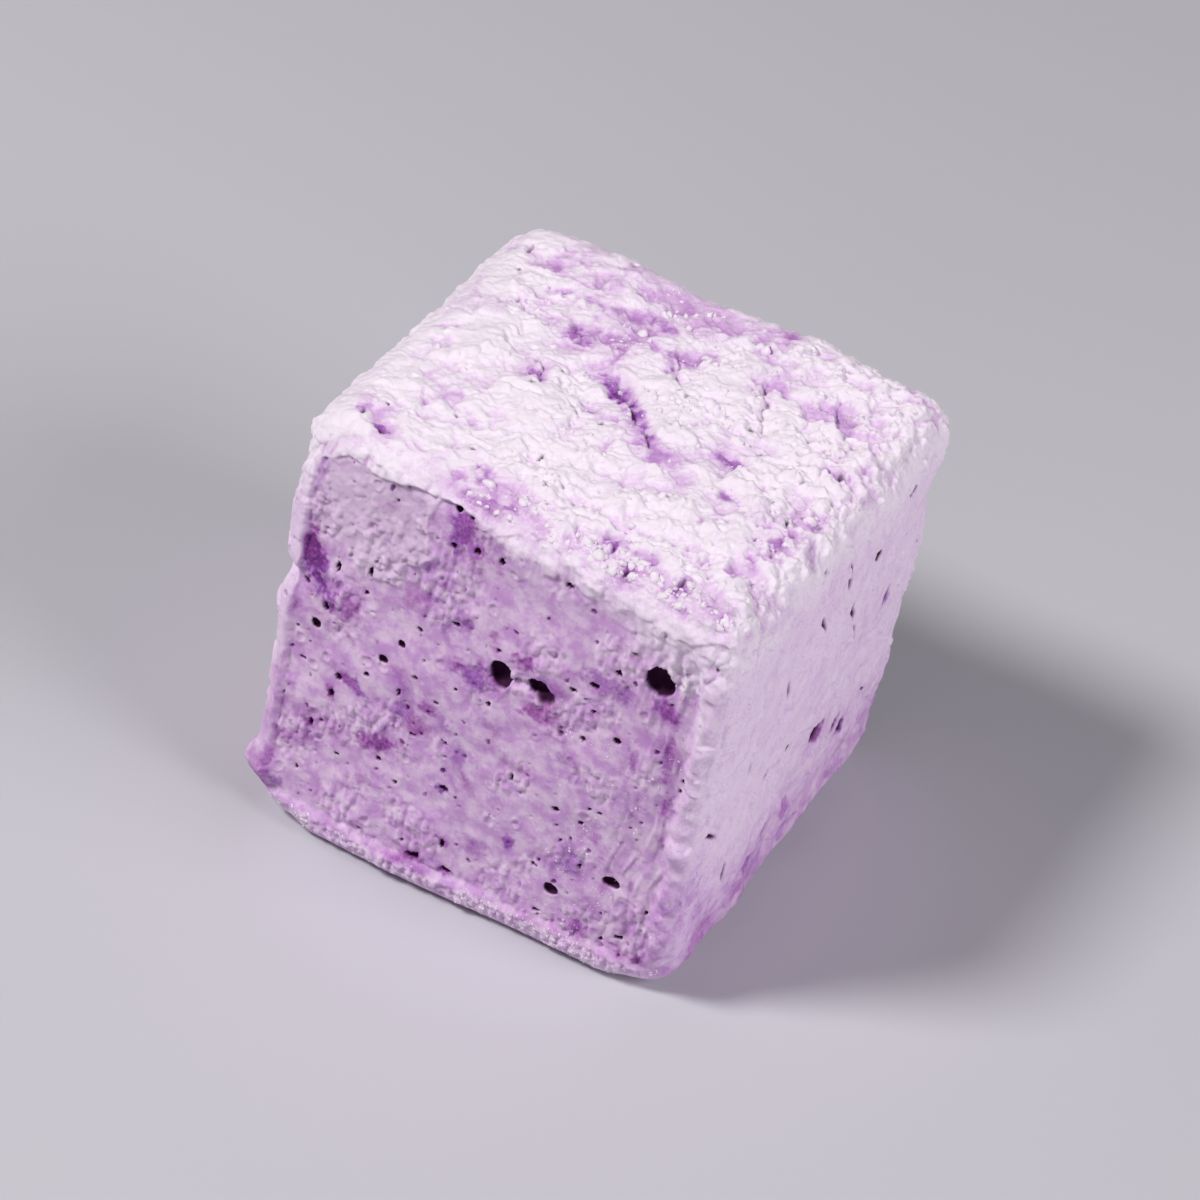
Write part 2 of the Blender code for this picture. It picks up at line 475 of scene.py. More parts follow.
@dataclass
class Relief:
    """What the surface carries at each point: height in millimetres, and shares from 0 to 1 of each look.

    detail is the height of the small forms alone, about 0 on average. powder is the white dusting, thinned by
    painted shade between the small forms and raised by painted highlight on the cut face's raised forms.
    berry is the purple stain, with painted shade added in holes and between the small forms. film is the
    greyish smear, hollow the painted shade down a hole, as far down it as the point is, and hue leans the
    stain from violet at
    0 to magenta at 1.
    """

    height: Array
    detail: Array
    powder: Array
    berry: Array
    film: Array
    hole_shade: Array
    hue: Array

    @classmethod
    def flat(cls, count: int) -> "Relief":
        """No relief at all."""
        return cls(*(np.zeros(count) for _ in range(7)))

    def add(self, other: "Relief", share: Array, chosen: Array) -> None:
        """Adds share of another relief that covers the chosen points alone."""
        for name in ("height", "detail", *LOOKS):
            getattr(self, name)[chosen] += share * getattr(other, name)

    def form(self, detail: Array) -> None:
        """Raises the surface by small forms."""
        self.height += detail
        self.detail += detail

    def dig(self, depth: Array, dark: float = 1.6) -> None:
        """Sinks the surface, and raises hollow, the painted shade down holes, in step with the depth."""
        self.height -= depth
        self.hole_shade = np.maximum(self.hole_shade, np.clip(depth * dark, 0.0, 1.0))

    def burst(self, bubble: Bubble, across: Array, up: Array, gloom: float = 1.8) -> None:
        """Opens a listed bubble, dark in step with its depth for its own size.

        Args:
            bubble: which bubble.
            across: the side's level coordinate.
            up: the side's upright coordinate.
            gloom: how soon its painted shade is full.
        """
        depth = bubble.depth(across, up)
        self.height -= depth
        dark = np.clip(gloom * depth / max(bubble.wide, bubble.high), 0.0, 1.0)
        # Painted shade down the bubble.
        self.hole_shade = np.maximum(self.hole_shade, dark)

    @property
    def crevice_shade(self) -> Array:
        """1 down between the small forms, 0 on them: where purple is painted in and powder thinned as shade.
        """
        return smooth((-0.03 - self.detail) / 0.26)


def rimmed(patch: Patch, side: Side, bubbles: tuple[Bubble, ...], least: float = 0.25) -> Patch:
    """Points near a large bubble's rim drawn along the face until they lie close to it.

    The distance from the middle in radii is passed through a broken line that is flat near 1.

    Args:
        patch: points of the block.
        side: the side that the bubbles are on.
        bubbles: the side's listed bubbles.
        least: smaller ones are left alone.

    Returns:
        The patch with those points moved.
    """
    _, _, level, rise = side.value
    point = patch.point.copy()
    facing = side.facing(patch.normal) > 0.8
    for bubble in bubbles:
        if min(bubble.wide, bubble.high) < least:
            continue
        near = 0.09 / min(bubble.wide, bubble.high)
        dx, dz = point[:, level] - bubble.across, CutFace.up(point, side) - bubble.up
        ring = np.hypot(dx / bubble.wide, dz / bubble.high)
        chosen = facing & (abs(ring - 1.0) < 3.0 * near)
        gap = ring[chosen] - 1.0
        before, after = np.array([-3.0, -1.0, 1.0, 3.0]), np.array([-3.0, -0.12, 0.12, 3.0])
        drawn = np.interp(gap, near * before, near * after)
        grown = (1.0 + drawn) / ring[chosen] - 1.0
        point[chosen, level] += dx[chosen] * grown
        point[chosen, rise] += dz[chosen] * grown
    return Patch(point, patch.normal)


def open_bubbles(patch: Patch, size: float, radius: tuple[float, float], share: float, seed: int) -> Array:
    """Bubbles of the foam that the surface cuts: one ball in some of the cubes of space.

    The depth is the way straight in from the point to the ball's far wall.

    Args:
        patch: where.
        size: edge of the cubes that hold a ball each.
        radius: smallest and largest radius; small ones are commoner.
        share: how many cubes hold a ball, from 0 to 1.
        seed: which balls.

    Returns:
        The depth at each point, in millimetres.
    """
    low = np.floor(patch.point / size)
    deepest = np.zeros(len(patch.point))
    for step in np.ndindex(3, 3, 3):
        cell = low + step - 1.0
        mixed = hashed(cell, seed)
        spot = (cell + three_shares(mixed)) * size
        chance = three_shares(hashed(cell, seed + 1))
        ball = radius[0] + (radius[1] - radius[0]) * chance[:, 0] ** 2.5
        away = spot - patch.point
        inward = -(away * patch.normal).sum(axis=1)
        room = inward**2 - (away**2).sum(axis=1) + ball**2
        inside = ((away**2).sum(axis=1) < ball**2) & (chance[:, 1] < share)
        depth = np.where(inside, inward + np.sqrt(np.clip(room, 0.0, None)), 0.0)
        deepest = np.maximum(deepest, depth)
    return deepest


@dataclass(frozen=True)
class CutFace:
    """The bare cut face: foam sunk inside pale rims, marbled, with open bubbles and knife streaks."""

    sunk: float = 0.38
    rim_left: float = -14.2
    rim_right: float = 13.7
    rim_base: float = 1.9
    ridge_at: float = 14.2
    ridge_wide: float = 1.0
    ridge_high: float = 0.30
    lip_line: tuple = (
        (-15.0, 27.2), (-13.2, 28.0), (-12.0, 28.9), (-9.5, 28.5), (-7.5, 28.8), (-5.0, 29.0), (0.0, 28.9),
        (4.0, 29.1), (8.0, 28.7), (12.0, 28.2), (15.0, 27.0),
    )
    bubbles: tuple[Bubble, ...] = (
        Bubble(10.4, 23.3, 1.0, 1.1, 0.15), Bubble(0.5, 18.7, 0.82, 0.98, 0.15),
        Bubble(3.0, 19.1, 0.72, 0.62, 0.1), Bubble(3.6, 18.6, 0.78, 0.72, -0.35),
        Bubble(-12.2, 15.7, 0.34, 0.4), Bubble(-7.3, 15.6, 0.34, 0.3), Bubble(-6.3, 17.2, 0.28, 0.26),
        Bubble(6.4, 4.9, 0.52, 0.46, 0.0), Bubble(10.1, 7.4, 0.62, 0.4, 0.05),
        Bubble(-4.4, 28.2, 0.26, 0.45), Bubble(-3.4, 28.0, 0.2, 0.25), Bubble(-0.5, 28.0, 0.16, 0.16),
        Bubble(1.6, 28.0, 0.24, 0.18), Bubble(3.6, 26.7, 0.28, 0.2), Bubble(-2.6, 25.9, 0.2, 0.2),
        Bubble(-0.9, 26.1, 0.16, 0.32), Bubble(-4.2, 25.5, 0.2, 0.2), Bubble(7.2, 27.4, 0.15, 0.12),
        Bubble(10.2, 27.0, 0.12, 0.32), Bubble(-9.1, 21.1, 0.18, 0.28), Bubble(-11.4, 20.2, 0.13, 0.32),
        Bubble(-3.1, 20.3, 0.26, 0.16), Bubble(-9.2, 19.5, 0.15, 0.15), Bubble(-5.3, 18.8, 0.17, 0.15),
        Bubble(-13.4, 18.2, 0.24, 0.2), Bubble(-11.7, 17.2, 0.2, 0.28), Bubble(7.8, 22.6, 0.22, 0.18),
        Bubble(6.5, 21.0, 0.32, 0.22), Bubble(5.2, 20.0, 0.24, 0.14), Bubble(6.8, 19.2, 0.15, 0.13),
        Bubble(8.6, 17.9, 0.26, 0.24), Bubble(13.2, 17.3, 0.15, 0.18), Bubble(13.1, 16.4, 0.13, 0.2),
        Bubble(0.1, 16.2, 0.15, 0.15), Bubble(-2.2, 16.1, 0.12, 0.1), Bubble(-8.2, 14.0, 0.2, 0.14),
        Bubble(-3.3, 14.4, 0.17, 0.12), Bubble(-5.9, 13.9, 0.13, 0.3), Bubble(-12.8, 12.7, 0.2, 0.12),
        Bubble(-10.1, 12.75, 0.24, 0.24), Bubble(-2.3, 11.7, 0.14, 0.14), Bubble(2.5, 11.8, 0.11, 0.28),
        Bubble(-4.5, 11.3, 0.24, 0.14), Bubble(-10.4, 11.3, 0.2, 0.28), Bubble(5.7, 11.05, 0.26, 0.16),
        Bubble(7.4, 10.8, 0.18, 0.14), Bubble(7.8, 12.2, 0.13, 0.12), Bubble(8.5, 12.2, 0.14, 0.13),
        Bubble(-6.5, 8.3, 0.2, 0.17), Bubble(-11.5, 8.4, 0.18, 0.28), Bubble(-9.4, 7.1, 0.13, 0.13),
        Bubble(-1.8, 8.5, 0.34, 0.2, 0.0), Bubble(7.9, 7.6, 0.12, 0.12), Bubble(12.7, 6.4, 0.12, 0.17),
        Bubble(5.0, 6.1, 0.2, 0.11), Bubble(11.3, 3.6, 0.28, 0.17), Bubble(-3.0, 2.6, 0.5, 0.2, 0.0),
        Bubble(-0.7, 2.6, 0.34, 0.22, 0.0), Bubble(5.7, 2.8, 0.24, 0.12), Bubble(10.2, 2.8, 0.13, 0.13),
        Bubble(-12.0, 4.7, 0.12, 0.12), Bubble(13.8, 22.1, 0.28, 0.2), Bubble(-1.2, 4.5, 0.17, 0.3),
    )
    stains: tuple[Stain, ...] = (
        Stain(-13.1, 19.9, 1.1, 2.5, 1.0, 28.0), Stain(-13.7, 20.9, 0.9, 1.3, 1.0),
        Stain(-11.6, 17.9, 0.9, 1.3, 0.7, 30.0), Stain(-10.2, 18.0, 0.8, 1.3, 0.55),
        Stain(-3.9, 26.8, 0.9, 2.0, 0.75), Stain(-2.6, 26.0, 1.1, 0.8, 0.6),
        Stain(-3.5, 28.4, 1.6, 0.7, 0.5), Stain(2.0, 20.4, 1.3, 0.6, 0.65),
        Stain(-0.4, 21.0, 0.5, 1.2, 0.45), Stain(-1.0, 17.6, 1.9, 1.1, 0.6),
        Stain(3.4, 17.2, 1.4, 0.9, 0.6), Stain(7.2, 21.3, 2.6, 1.0, 0.5), Stain(11.2, 21.6, 1.0, 0.9, 0.75),
        Stain(12.0, 18.2, 0.45, 2.4, 0.6), Stain(12.4, 14.8, 0.3, 1.6, 0.6),
        Stain(13.8, 11.8, 0.55, 1.1, 0.7), Stain(14.1, 7.5, 0.7, 0.8, 0.65),
        Stain(14.3, 4.2, 1.0, 1.2, 0.6), Stain(13.0, 2.6, 0.7, 0.6, 0.8), Stain(8.5, 2.8, 0.9, 0.8, 0.6),
        Stain(3.0, 6.8, 0.5, 0.7, 0.75, -30.0), Stain(-1.9, 8.4, 0.7, 0.4, 0.8),
        Stain(-6.3, 9.8, 1.4, 1.0, 0.8), Stain(-7.6, 9.3, 0.9, 0.8, 0.6),
        Stain(-4.0, 13.7, 0.9, 0.8, 0.65, 40.0), Stain(-9.0, 12.7, 1.6, 0.45, 0.7, -25.0),
        Stain(-10.4, 11.4, 0.5, 0.6, 0.8), Stain(-14.4, 3.9, 0.9, 1.1, 0.95),
        Stain(-13.3, 3.0, 1.2, 0.6, 0.5), Stain(-14.3, 12.8, 0.4, 1.6, 0.7),
        Stain(-14.3, 8.5, 0.35, 2.5, 0.4), Stain(-3.0, 2.6, 0.9, 0.45, 0.8),
        Stain(-0.8, 2.5, 0.7, 0.4, 0.7), Stain(-7.3, 6.3, 0.9, 0.6, 0.4), Stain(-13.5, 26.0, 0.8, 1.6, 0.4),
        Stain(-1.1, 4.6, 0.4, 0.5, 0.6), Stain(12.6, 23.5, 1.0, 1.4, 0.35),
        Stain(9.9, 16.5, 0.35, 2.0, 0.45), Stain(-8.0, 23.0, 0.5, 1.2, 0.3),
        Stain(5.6, 15.2, 1.2, 0.8, 0.35), Stain(0.6, 14.0, 1.2, 1.4, 0.3), Stain(-11.5, 8.3, 0.5, 0.6, 0.6),
    )

    @staticmethod
    def up(point: Array, side: Side = Side.FRONT) -> Array:
        """Height on a side. On the cut face it is 29 all along the top edge, which rises to the left."""
        if side is not Side.FRONT:
            return point[:, 2]
        return point[:, 2] / (1.0 + 0.0345 * (0.5 - point[:, 0] / 30.0))

    def inside(self, patch: Patch) -> Array:
        """1 on the sunk foam, 0 on the rims: smooth borders at left and base, broken at lip and right.

        Args:
            patch: points of the block.

        Returns:
            A share from 0 to 1.
        """
        x, _, z = patch.point.T
        ragged = noise(patch.point, 1.1, 11) + 0.5 * noise(patch.point, 0.45, 12)
        slow = noise(patch.point, (3.0, 3.0, 3.6), 13)
        right = smooth((x + 4.5) / 5.0)
        lip = np.interp(x, *zip(*self.lip_line)) + ragged * (0.10 + 0.55 * right) - 0.4 * right
        across = smooth((x - self.rim_left + 0.15 * ragged) / 0.5)
        across = across * smooth((self.rim_right - x + 0.5 * slow + 0.25 * ragged) / 0.9)
        base = smooth((z - self.rim_base + 0.25 * ragged) / 0.5)
        front = smooth(Side.FRONT.facing(patch.normal) / 0.25)
        return front * across * base * smooth((lip - z) / (0.16 + 2.6 * right))

    def ridge(self, patch: Patch) -> Array:
        """Height of the lumpy ridge that wanders up the right rim.

        Args:
            patch: points of the block.

        Returns:
            Height in millimetres.
        """
        x = patch.point[:, 0] - 0.5 * noise(patch.point, (3.0, 3.0, 3.6), 13)
        lumps = 1.0 + 1.3 * noise(patch.point, (2.0, 2.0, 3.6), 21) + 0.8 * noise(patch.point, 0.9, 22)
        front = Side.FRONT.facing(patch.normal)
        return front * self.ridge_high * lumps * np.exp(-(((x - self.ridge_at) / self.ridge_wide) ** 2))

    def streaks(self, point: Array) -> Array:
        """Upright knife streaks, strongest towards the right: grooves and ribs a few millimetres long.

        Args:
            point: places in millimetres, one row each.

        Returns:
            Height in millimetres.
        """
        x = point[:, 0]
        point = warped(point, 3.5, 0.8, 39)
        strong = 0.18 + 0.82 * smooth((x - 7.0) / 4.5)
        fine = noise(point, (0.42, 9.0, 4.5), 41) + 0.5 * noise(point, (0.22, 9.0, 2.2), 42)
        wide = noise(point, (1.2, 9.0, 4.0), 40)
        ribs = smooth((wide + 0.35 * fine - 0.05) / 0.25) - 0.5
        return strong * (0.050 * fine + 0.10 * ribs * smooth((x - 6.0) / 4.0))

    def froth(self, point: Array, film: Array) -> Array:
        """Fine relief of burst froth: dabs, small ribs, ring craters, more of them in some patches.

        Args:
            point: places in millimetres, one row each.
            film: share of the smeared film at each point.

        Returns:
            Height in millimetres.
        """
        low = smooth((8.0 - point[:, 2]) / 5.0)
        patchy = smooth((noise(point, 3.4, 53) + 0.45 * film + 0.35 * low + 0.05) / 0.5)
        dabs = noise(point, (0.42, 2.0, 0.95), 54)
        dabs = 0.13 * smooth((dabs - 0.10) / 0.22) - 0.08 * smooth((-dabs - 0.2) / 0.2)
        bubbly = Cells.around(warped(point, 0.8, 0.2, 51), 0.55, 52)
        grain = noise(point, 0.3, 55)
        rings = Cells.around(warped(point, 0.7, 0.12, 56), 1.5, 57)
        rings = rings.rings(0.27, 0.06, 0.22) - 0.8 * (rings.near < 0.22) * (rings.mark < 0.22)
        body = patchy * (dabs + 0.08 * bubbly.lumps(0.55) - 0.05) + 0.030 * (0.4 + patchy) * grain
        return body + 0.08 * rings + 0.05 * film * (bubbly.lumps(0.55) - 0.5)

    def relief(self, patch: Patch) -> Relief:
        """The foam's own relief: swelling, knife streaks, froth, film and open bubbles of four sizes.

        Args:
            patch: the points on or near the cut face.

        Returns:
            The relief, which holds where inside is 1.
        """
        point = patch.point
        x, up = point[:, 0], self.up(point)
        made = Relief.flat(len(point))
        made.height += 0.12 * noise(point, 4.2, 43) + 0.09 * noise(point, 2.0, 44)
        made.form(self.streaks(point) + 0.05 * noise(point, 1.0, 45))

        edge = -5.4 + 0.9 * noise(point, 2.6, 47) + 0.4 * noise(point, 0.9, 46)
        edge = edge - 1.3 * smooth((23.2 - up) / 0.5)
        film = smooth((edge - x) / 0.30)
        film = film * smooth((up - 20.6 - 1.6 * noise(point, 2.6, 48) + 0.08 * (x + 10.0)) / 1.8)
        speckle = Cells.around(warped(point, 0.5, 0.15, 86), 0.5, 87)
        speckle = film * smooth((0.30 * speckle.mark - speckle.near) / 0.1)
        made.film = film * smooth((x + 14.6) / 2.5 + 0.4 * noise(point, 1.8, 49))
        border = np.exp(-(((x - edge + 0.25) / 0.22) ** 2)) * smooth((up - 21.5) / 1.5)
        made.form(0.12 * film + 0.12 * border - 0.07 * speckle)
        made.form(self.froth(point, film))

        specs = (
            (2.6, (0.16, 0.44), 0.16, 61), (1.25, (0.08, 0.25), 0.36, 63), (0.62, (0.06, 0.14), 0.40, 65),
            (0.45, (0.05, 0.09), 0.30, 67), (1.7, (0.12, 0.2), 0.30, 68),
        )
        for spec in specs:
            made.dig(open_bubbles(patch, *spec), 3.0)
        for bubble in self.bubbles:
            made.burst(bubble, x, up)
        link = Slit((1.15, 18.75), (2.75, 18.85), 0.28, 0.4)
        made.dig(link.depth(x, up, 0.0 * x), 0.7)

        ragged = noise(point, 0.9, 71) + 0.6 * noise(point, 0.35, 72) + 0.4 * noise(point, 0.2, 73)
        marble = layered(warped(point, 3.0, 1.2, 73), 4.5, 76, 4, 0.62)
        berry = 0.55 * smooth((marble + 0.05) / 0.7)
        flecks = Cells.around(warped(point, 0.6, 0.15, 77), 0.95, 78)
        clouds = smooth((marble + 0.25) / 0.6)
        fleck = smooth((0.26 * flecks.mark**1.5 - flecks.near) / 0.07) * (0.3 + 0.7 * clouds)
        made.dig(0.10 * fleck, 6.5)
        for stain in self.stains:
            berry = np.maximum(berry, stain.share(x, up, ragged))
        berry = np.maximum(berry, 0.95 * fleck)
        # Purple round and down holes: painted shade.
        around = np.maximum(berry, 0.55 * smooth(made.hole_shade))
        # A little purple between the small forms: painted shade.
        made.berry = np.clip(around * (1.0 - 0.35 * made.film) + 0.12 * made.crevice_shade, 0.0, 1.0)
        made.hue = smooth(0.5 + noise(point, 3.5, 79))
        pale = layered(warped(point, 2.0, 0.8, 81), 3.4, 84, 3)
        # Whiter on raised forms: painted highlight, added to the pale dusting.
        crest_highlight = smooth((made.detail - 0.06) / 0.12)
        made.powder = (0.25 * smooth((pale - 0.05) / 0.5) + 0.35 * crest_highlight) * (1.0 - 0.8 * made.berry)
        hang = np.interp(x, (-4.0, 0.0, 6.0, 10.0, 14.0), (28.6, 27.4, 25.6, 23.0, 19.0))
        hanging = smooth((up - hang + 1.6 * noise(point, (1.4, 1.4, 3.0), 88) + 0.5) / 3.2)
        hanging = hanging * smooth((x + 4.5) / 3.0)
        made.powder += 0.62 * hanging * (1.0 - 0.7 * made.berry)
        made.form(hanging * (0.16 * noise(point, (0.9, 0.9, 1.8), 89) + 0.10 * noise(point, 0.5, 90)))
        made.powder += 0.22 * smooth((x - 10.5) / 2.5) * smooth(0.5 + noise(point, (0.8, 0.8, 3.0), 85))
        return made


@dataclass(frozen=True)
class TopCrust:
    """The powdered top: plates with small cliffs, clumps, wrinkles, tears and purple pits."""

    tears: tuple[Tear, ...] = (
        Tear((2.6, -3.6), (-3.2, 2.4), 0.85, 0.85, 0.25, 1.2),
        Tear((7.0, 2.4), (4.2, 8.8), 1.1, 0.55, 0.4, 0.1),
        Tear((0.6, 3.6), (-0.9, 7.2), 0.55, 0.35),
        Tear((-5.5, 3.2), (-7.6, 5.4), 0.9, 0.35),
        Tear((-5.8, -2.6), (-6.9, 0.4), 0.6, 0.35),
        Tear((9.4, -1.6), (5.4, -0.2), 0.7, 0.3, 0.3, 0.6),
        Tear((9.6, -4.6), (7.4, -3.6), 0.8, 0.4, 0.3, 0.6),
        Tear((13.2, 1.8), (11.2, 2.2), 0.6, 0.5),
        Tear((10.8, 5.8), (9.2, 9.4), 0.8, 0.35),
        Tear((3.2, -7.6), (2.2, -6.8), 0.5, 0.3),
        Tear((6.6, -11.4), (3.4, -12.4), 0.45, 0.45),
    )
    pits: tuple[Bubble, ...] = (
        Bubble(-7.0, 0.1, 0.3, 0.2), Bubble(-6.1, -2.4, 0.28, 0.22), Bubble(-1.0, -2.9, 0.15, 0.35),
        Bubble(7.95, 1.3, 0.14, 0.2), Bubble(6.4, 3.0, 0.26, 0.3), Bubble(-5.9, 3.6, 0.35, 0.25),
        Bubble(-13.5, 11.1, 0.22, 0.6), Bubble(-13.4, 9.7, 0.3, 0.15), Bubble(-12.9, 8.5, 0.16, 0.2),
        Bubble(-9.1, 7.4, 0.18, 0.2), Bubble(-7.1, 13.4, 0.2, 0.3), Bubble(-7.6, 12.7, 0.35, 0.15),
        Bubble(-5.5, 11.1, 0.3, 0.16), Bubble(-12.0, -9.9, 0.13, 0.13), Bubble(-11.2, -12.3, 0.35, 0.25),
        Bubble(-12.8, -11.5, 0.2, 0.4), Bubble(-5.8, -10.4, 0.2, 0.2), Bubble(-2.3, -8.2, 0.16, 0.4),
        Bubble(-8.2, -8.1, 0.22, 0.14), Bubble(-5.4, 0.3, 0.12, 0.12), Bubble(12.9, 2.4, 0.3, 0.35),
        Bubble(3.9, -13.0, 0.3, 0.35), Bubble(9.7, -13.0, 0.2, 0.6), Bubble(6.5, -13.9, 0.2, 0.35),
        Bubble(-10.3, -4.1, 0.1, 0.14), Bubble(-1.9, 0.2, 0.13, 0.1), Bubble(12.2, -4.0, 0.2, 0.3),
    )
    stains: tuple[Stain, ...] = (
        Stain(-1.5, 0.6, 2.6, 1.0, 1.0, -42.0), Stain(1.2, -1.9, 1.8, 0.7, 0.8, -30.0),
        Stain(-0.6, 5.8, 0.6, 1.7, 0.75, 15.0), Stain(-6.5, 4.3, 1.6, 1.1, 0.8),
        Stain(-6.2, -1.4, 0.9, 1.3, 0.7), Stain(-3.6, 6.8, 1.4, 1.6, 0.35),
        Stain(-8.2, 8.6, 2.2, 2.0, 0.35), Stain(-2.6, 9.2, 1.6, 0.9, 0.5), Stain(-11.3, 6.3, 1.2, 0.5, 0.5),
        Stain(7.2, -0.8, 1.6, 0.8, 0.55), Stain(8.2, -4.1, 0.8, 0.6, 0.5),
        Stain(-13.2, -10.6, 0.8, 1.3, 0.55), Stain(-11.2, -12.2, 0.7, 0.5, 0.8),
        Stain(-4.4, -11.6, 0.7, 0.8, 0.45), Stain(12.7, 2.2, 0.7, 0.6, 0.8),
        Stain(9.8, 7.4, 0.9, 1.3, 0.35), Stain(2.6, -7.6, 0.6, 0.5, 0.4), Stain(5.0, -12.2, 1.7, 0.7, 0.65),
        Stain(9.9, -13.2, 0.5, 1.2, 0.75), Stain(12.4, -14.2, 2.4, 0.8, 0.55),
        Stain(-7.0, 12.9, 0.8, 0.7, 0.6), Stain(-3.0, -14.0, 2.6, 0.8, 0.6),
        Stain(1.8, -2.8, 0.5, 0.5, 0.5), Stain(-2.0, -2.2, 1.1, 0.4, 0.4), Stain(-5.8, 8.1, 0.6, 0.9, 0.5),
        Stain(6.6, -14.0, 0.7, 0.9, 0.6),
    )

    plates: tuple[Stain, ...] = (
        Stain(3.4, 5.6, 3.6, 2.2, 1.0, 118.0), Stain(7.4, 5.6, 2.6, 1.4, 1.0, 125.0),
        Stain(-4.4, -3.0, 2.6, 1.8, 1.0, -40.0), Stain(1.4, -8.6, 4.0, 1.6, 1.0, 10.0),
        Stain(-11.0, 1.0, 2.0, 4.5, 1.0), Stain(10.6, -7.0, 1.8, 2.8, 1.0, -20.0),
    )

    @staticmethod
    def clumpy(x: Array, y: Array) -> Array:
        """How lumpy the powder lies: most along the right side, the front edge and the back right.

        Args:
            x: places to the right.
            y: places to the back.

        Returns:
            A share from 0 to 1.
        """
        right = smooth((x - 7.0 + 0.15 * y) / 4.0)
        front = 0.85 * smooth((-y - 6.0) / 4.0) * smooth((x + 6.0) / 5.0)
        back = 0.8 * smooth((y - 9.0) / 3.0) * smooth((x - 0.5) / 3.0)
        return np.maximum(np.maximum(right, front), back)

    def flaked(self, point: Array, clumpy: Array) -> Array:
        """Flakes and clumps of the crust: cliffs cut from slow noise, crumbly lumps, hatching and grain.

        Args:
            point: places in millimetres, one row each.
            clumpy: how lumpy the powder lies at each point.

        Returns:
            Height in millimetres.
        """
        bent = warped(point, 1.5, 0.5, 101)
        high = np.zeros(len(point))
        for size, step, edge, seed in ((4.4, 0.20, 0.16, 104), (2.3, 0.12, 0.22, 108)):
            level = layered(bent, size, seed, 3)
            high += step * (smooth((level + 0.03) / edge) - 0.5)
        crumbly = layered(warped(point, 0.7, 0.22, 125), 1.9, 126, 4, 0.62)
        ledges = 3.2 * layered(bent, 1.7, 130, 3, 0.55)
        high += (0.10 + 0.05 * clumpy) * (np.floor(ledges) + smooth((ledges % 1.0 - 0.62) / 0.38))
        knobs = Cells.around(warped(point, 0.6, 0.2, 117), 1.05, 118)
        high += (0.10 + 0.42 * clumpy) * crumbly + (0.02 + 0.20 * clumpy) * (knobs.lumps(0.62) - 0.5)
        across, along = point[:, :1] + point[:, 1:2], point[:, 1:2] - point[:, :1]
        slanted = np.hstack([across, along, point[:, 2:]]) * 0.7
        hatch = noise(slanted, (1.5, 0.26, 1.0), 121) + 0.7 * noise(slanted, (0.3, 1.2, 1.0), 122)
        high += (0.034 - 0.018 * clumpy) * hatch + 0.034 * noise(point, 0.42, 123)
        return high + 0.028 * noise(point, 0.22, 124)

    def relief(self, patch: Patch) -> Relief:
        """Crust relief: flakes, a few listed plates, tears and pits, and the stain that shows in them.

        Args:
            patch: points on or near the top.

        Returns:
            The relief there.
        """
        point = patch.point
        x, y, _ = point.T
        made = Relief.flat(len(point))
        clumpy = self.clumpy(x, y)
        ragged = noise(point, 0.9, 131) + 0.6 * noise(point, 0.4, 132) + 0.3 * noise(point, 0.2, 133)
        made.height += 0.15 * noise(point, 5.5, 106) + 0.06 * noise(point, 2.8, 107)
        calm = np.zeros(len(point))
        for plate in self.plates:
            share = smooth((plate.share(x, y, 1.2 * ragged) - 0.25) / 0.55)
            made.form(0.22 * share)
            calm = np.maximum(calm, share)
        outer = smooth((y - 10.5) / 4.0) * (1.0 - 0.4 * smooth((x - 3.0) / 5.0))
        outer = outer + 0.7 * smooth((-x - 11.5) / 3.5)
        made.form((1.0 - 0.45 * calm) * (1.0 - 0.6 * np.clip(outer, 0.0, 1.0)) * self.flaked(point, clumpy))

        torn = np.zeros(len(point))
        for tear in self.tears:
            depth = tear.depth(x, y, ragged)
            made.dig(depth, 0.28)
            torn = np.maximum(torn, tear.stained * smooth(depth / 0.45))
        for pit in self.pits:
            made.burst(pit, x, y, 0.5)
        made.dig(open_bubbles(patch, 1.3, (0.07, 0.22), 0.30, 135) * (1.0 - 0.6 * clumpy), 1.3)

        # Between the small forms the stain shows more, purple rises and the powder thins: painted shade.
        crevice_shade = made.crevice_shade
        clouds = layered(warped(point, 2.5, 1.0, 141), 4.0, 144, 3)
        shown = 0.42 + 0.58 * crevice_shade
        stained = np.zeros(len(point))
        berry = (0.08 + 0.3 * smooth((clouds - 0.05) / 0.6)) * crevice_shade
        for stain in self.stains:
            stained = np.maximum(stained, stain.share(x, y, ragged))
        berry = np.maximum(berry, np.maximum(stained * shown, torn * (0.40 + 0.5 * ragged)))
        pink = np.exp(-(((x + 2.0) / 5.0) ** 2) - ((y - 12.6) / 3.0) ** 2)
        front = smooth((-y - 10.8) / 3.5) * (0.45 + 0.55 * smooth((x + 5.0) / 3.0))
        made.berry = np.clip(berry + 0.20 * pink + 0.10 * front * smooth(0.5 + ragged), 0.0, 1.0)
        made.hue = np.clip(0.15 + 0.8 * pink + 0.3 * front + 0.2 * clouds, 0.0, 1.0)
        thin = 0.34 * smooth((clouds + 0.15) / 0.7) + 0.20 * front + 0.42 * pink
        powder = 1.05 - 0.34 * crevice_shade - 0.75 * made.berry - 0.35 * stained - 0.25 * torn - thin
        made.powder = np.clip(powder, 0.0, 1.0)
        return made


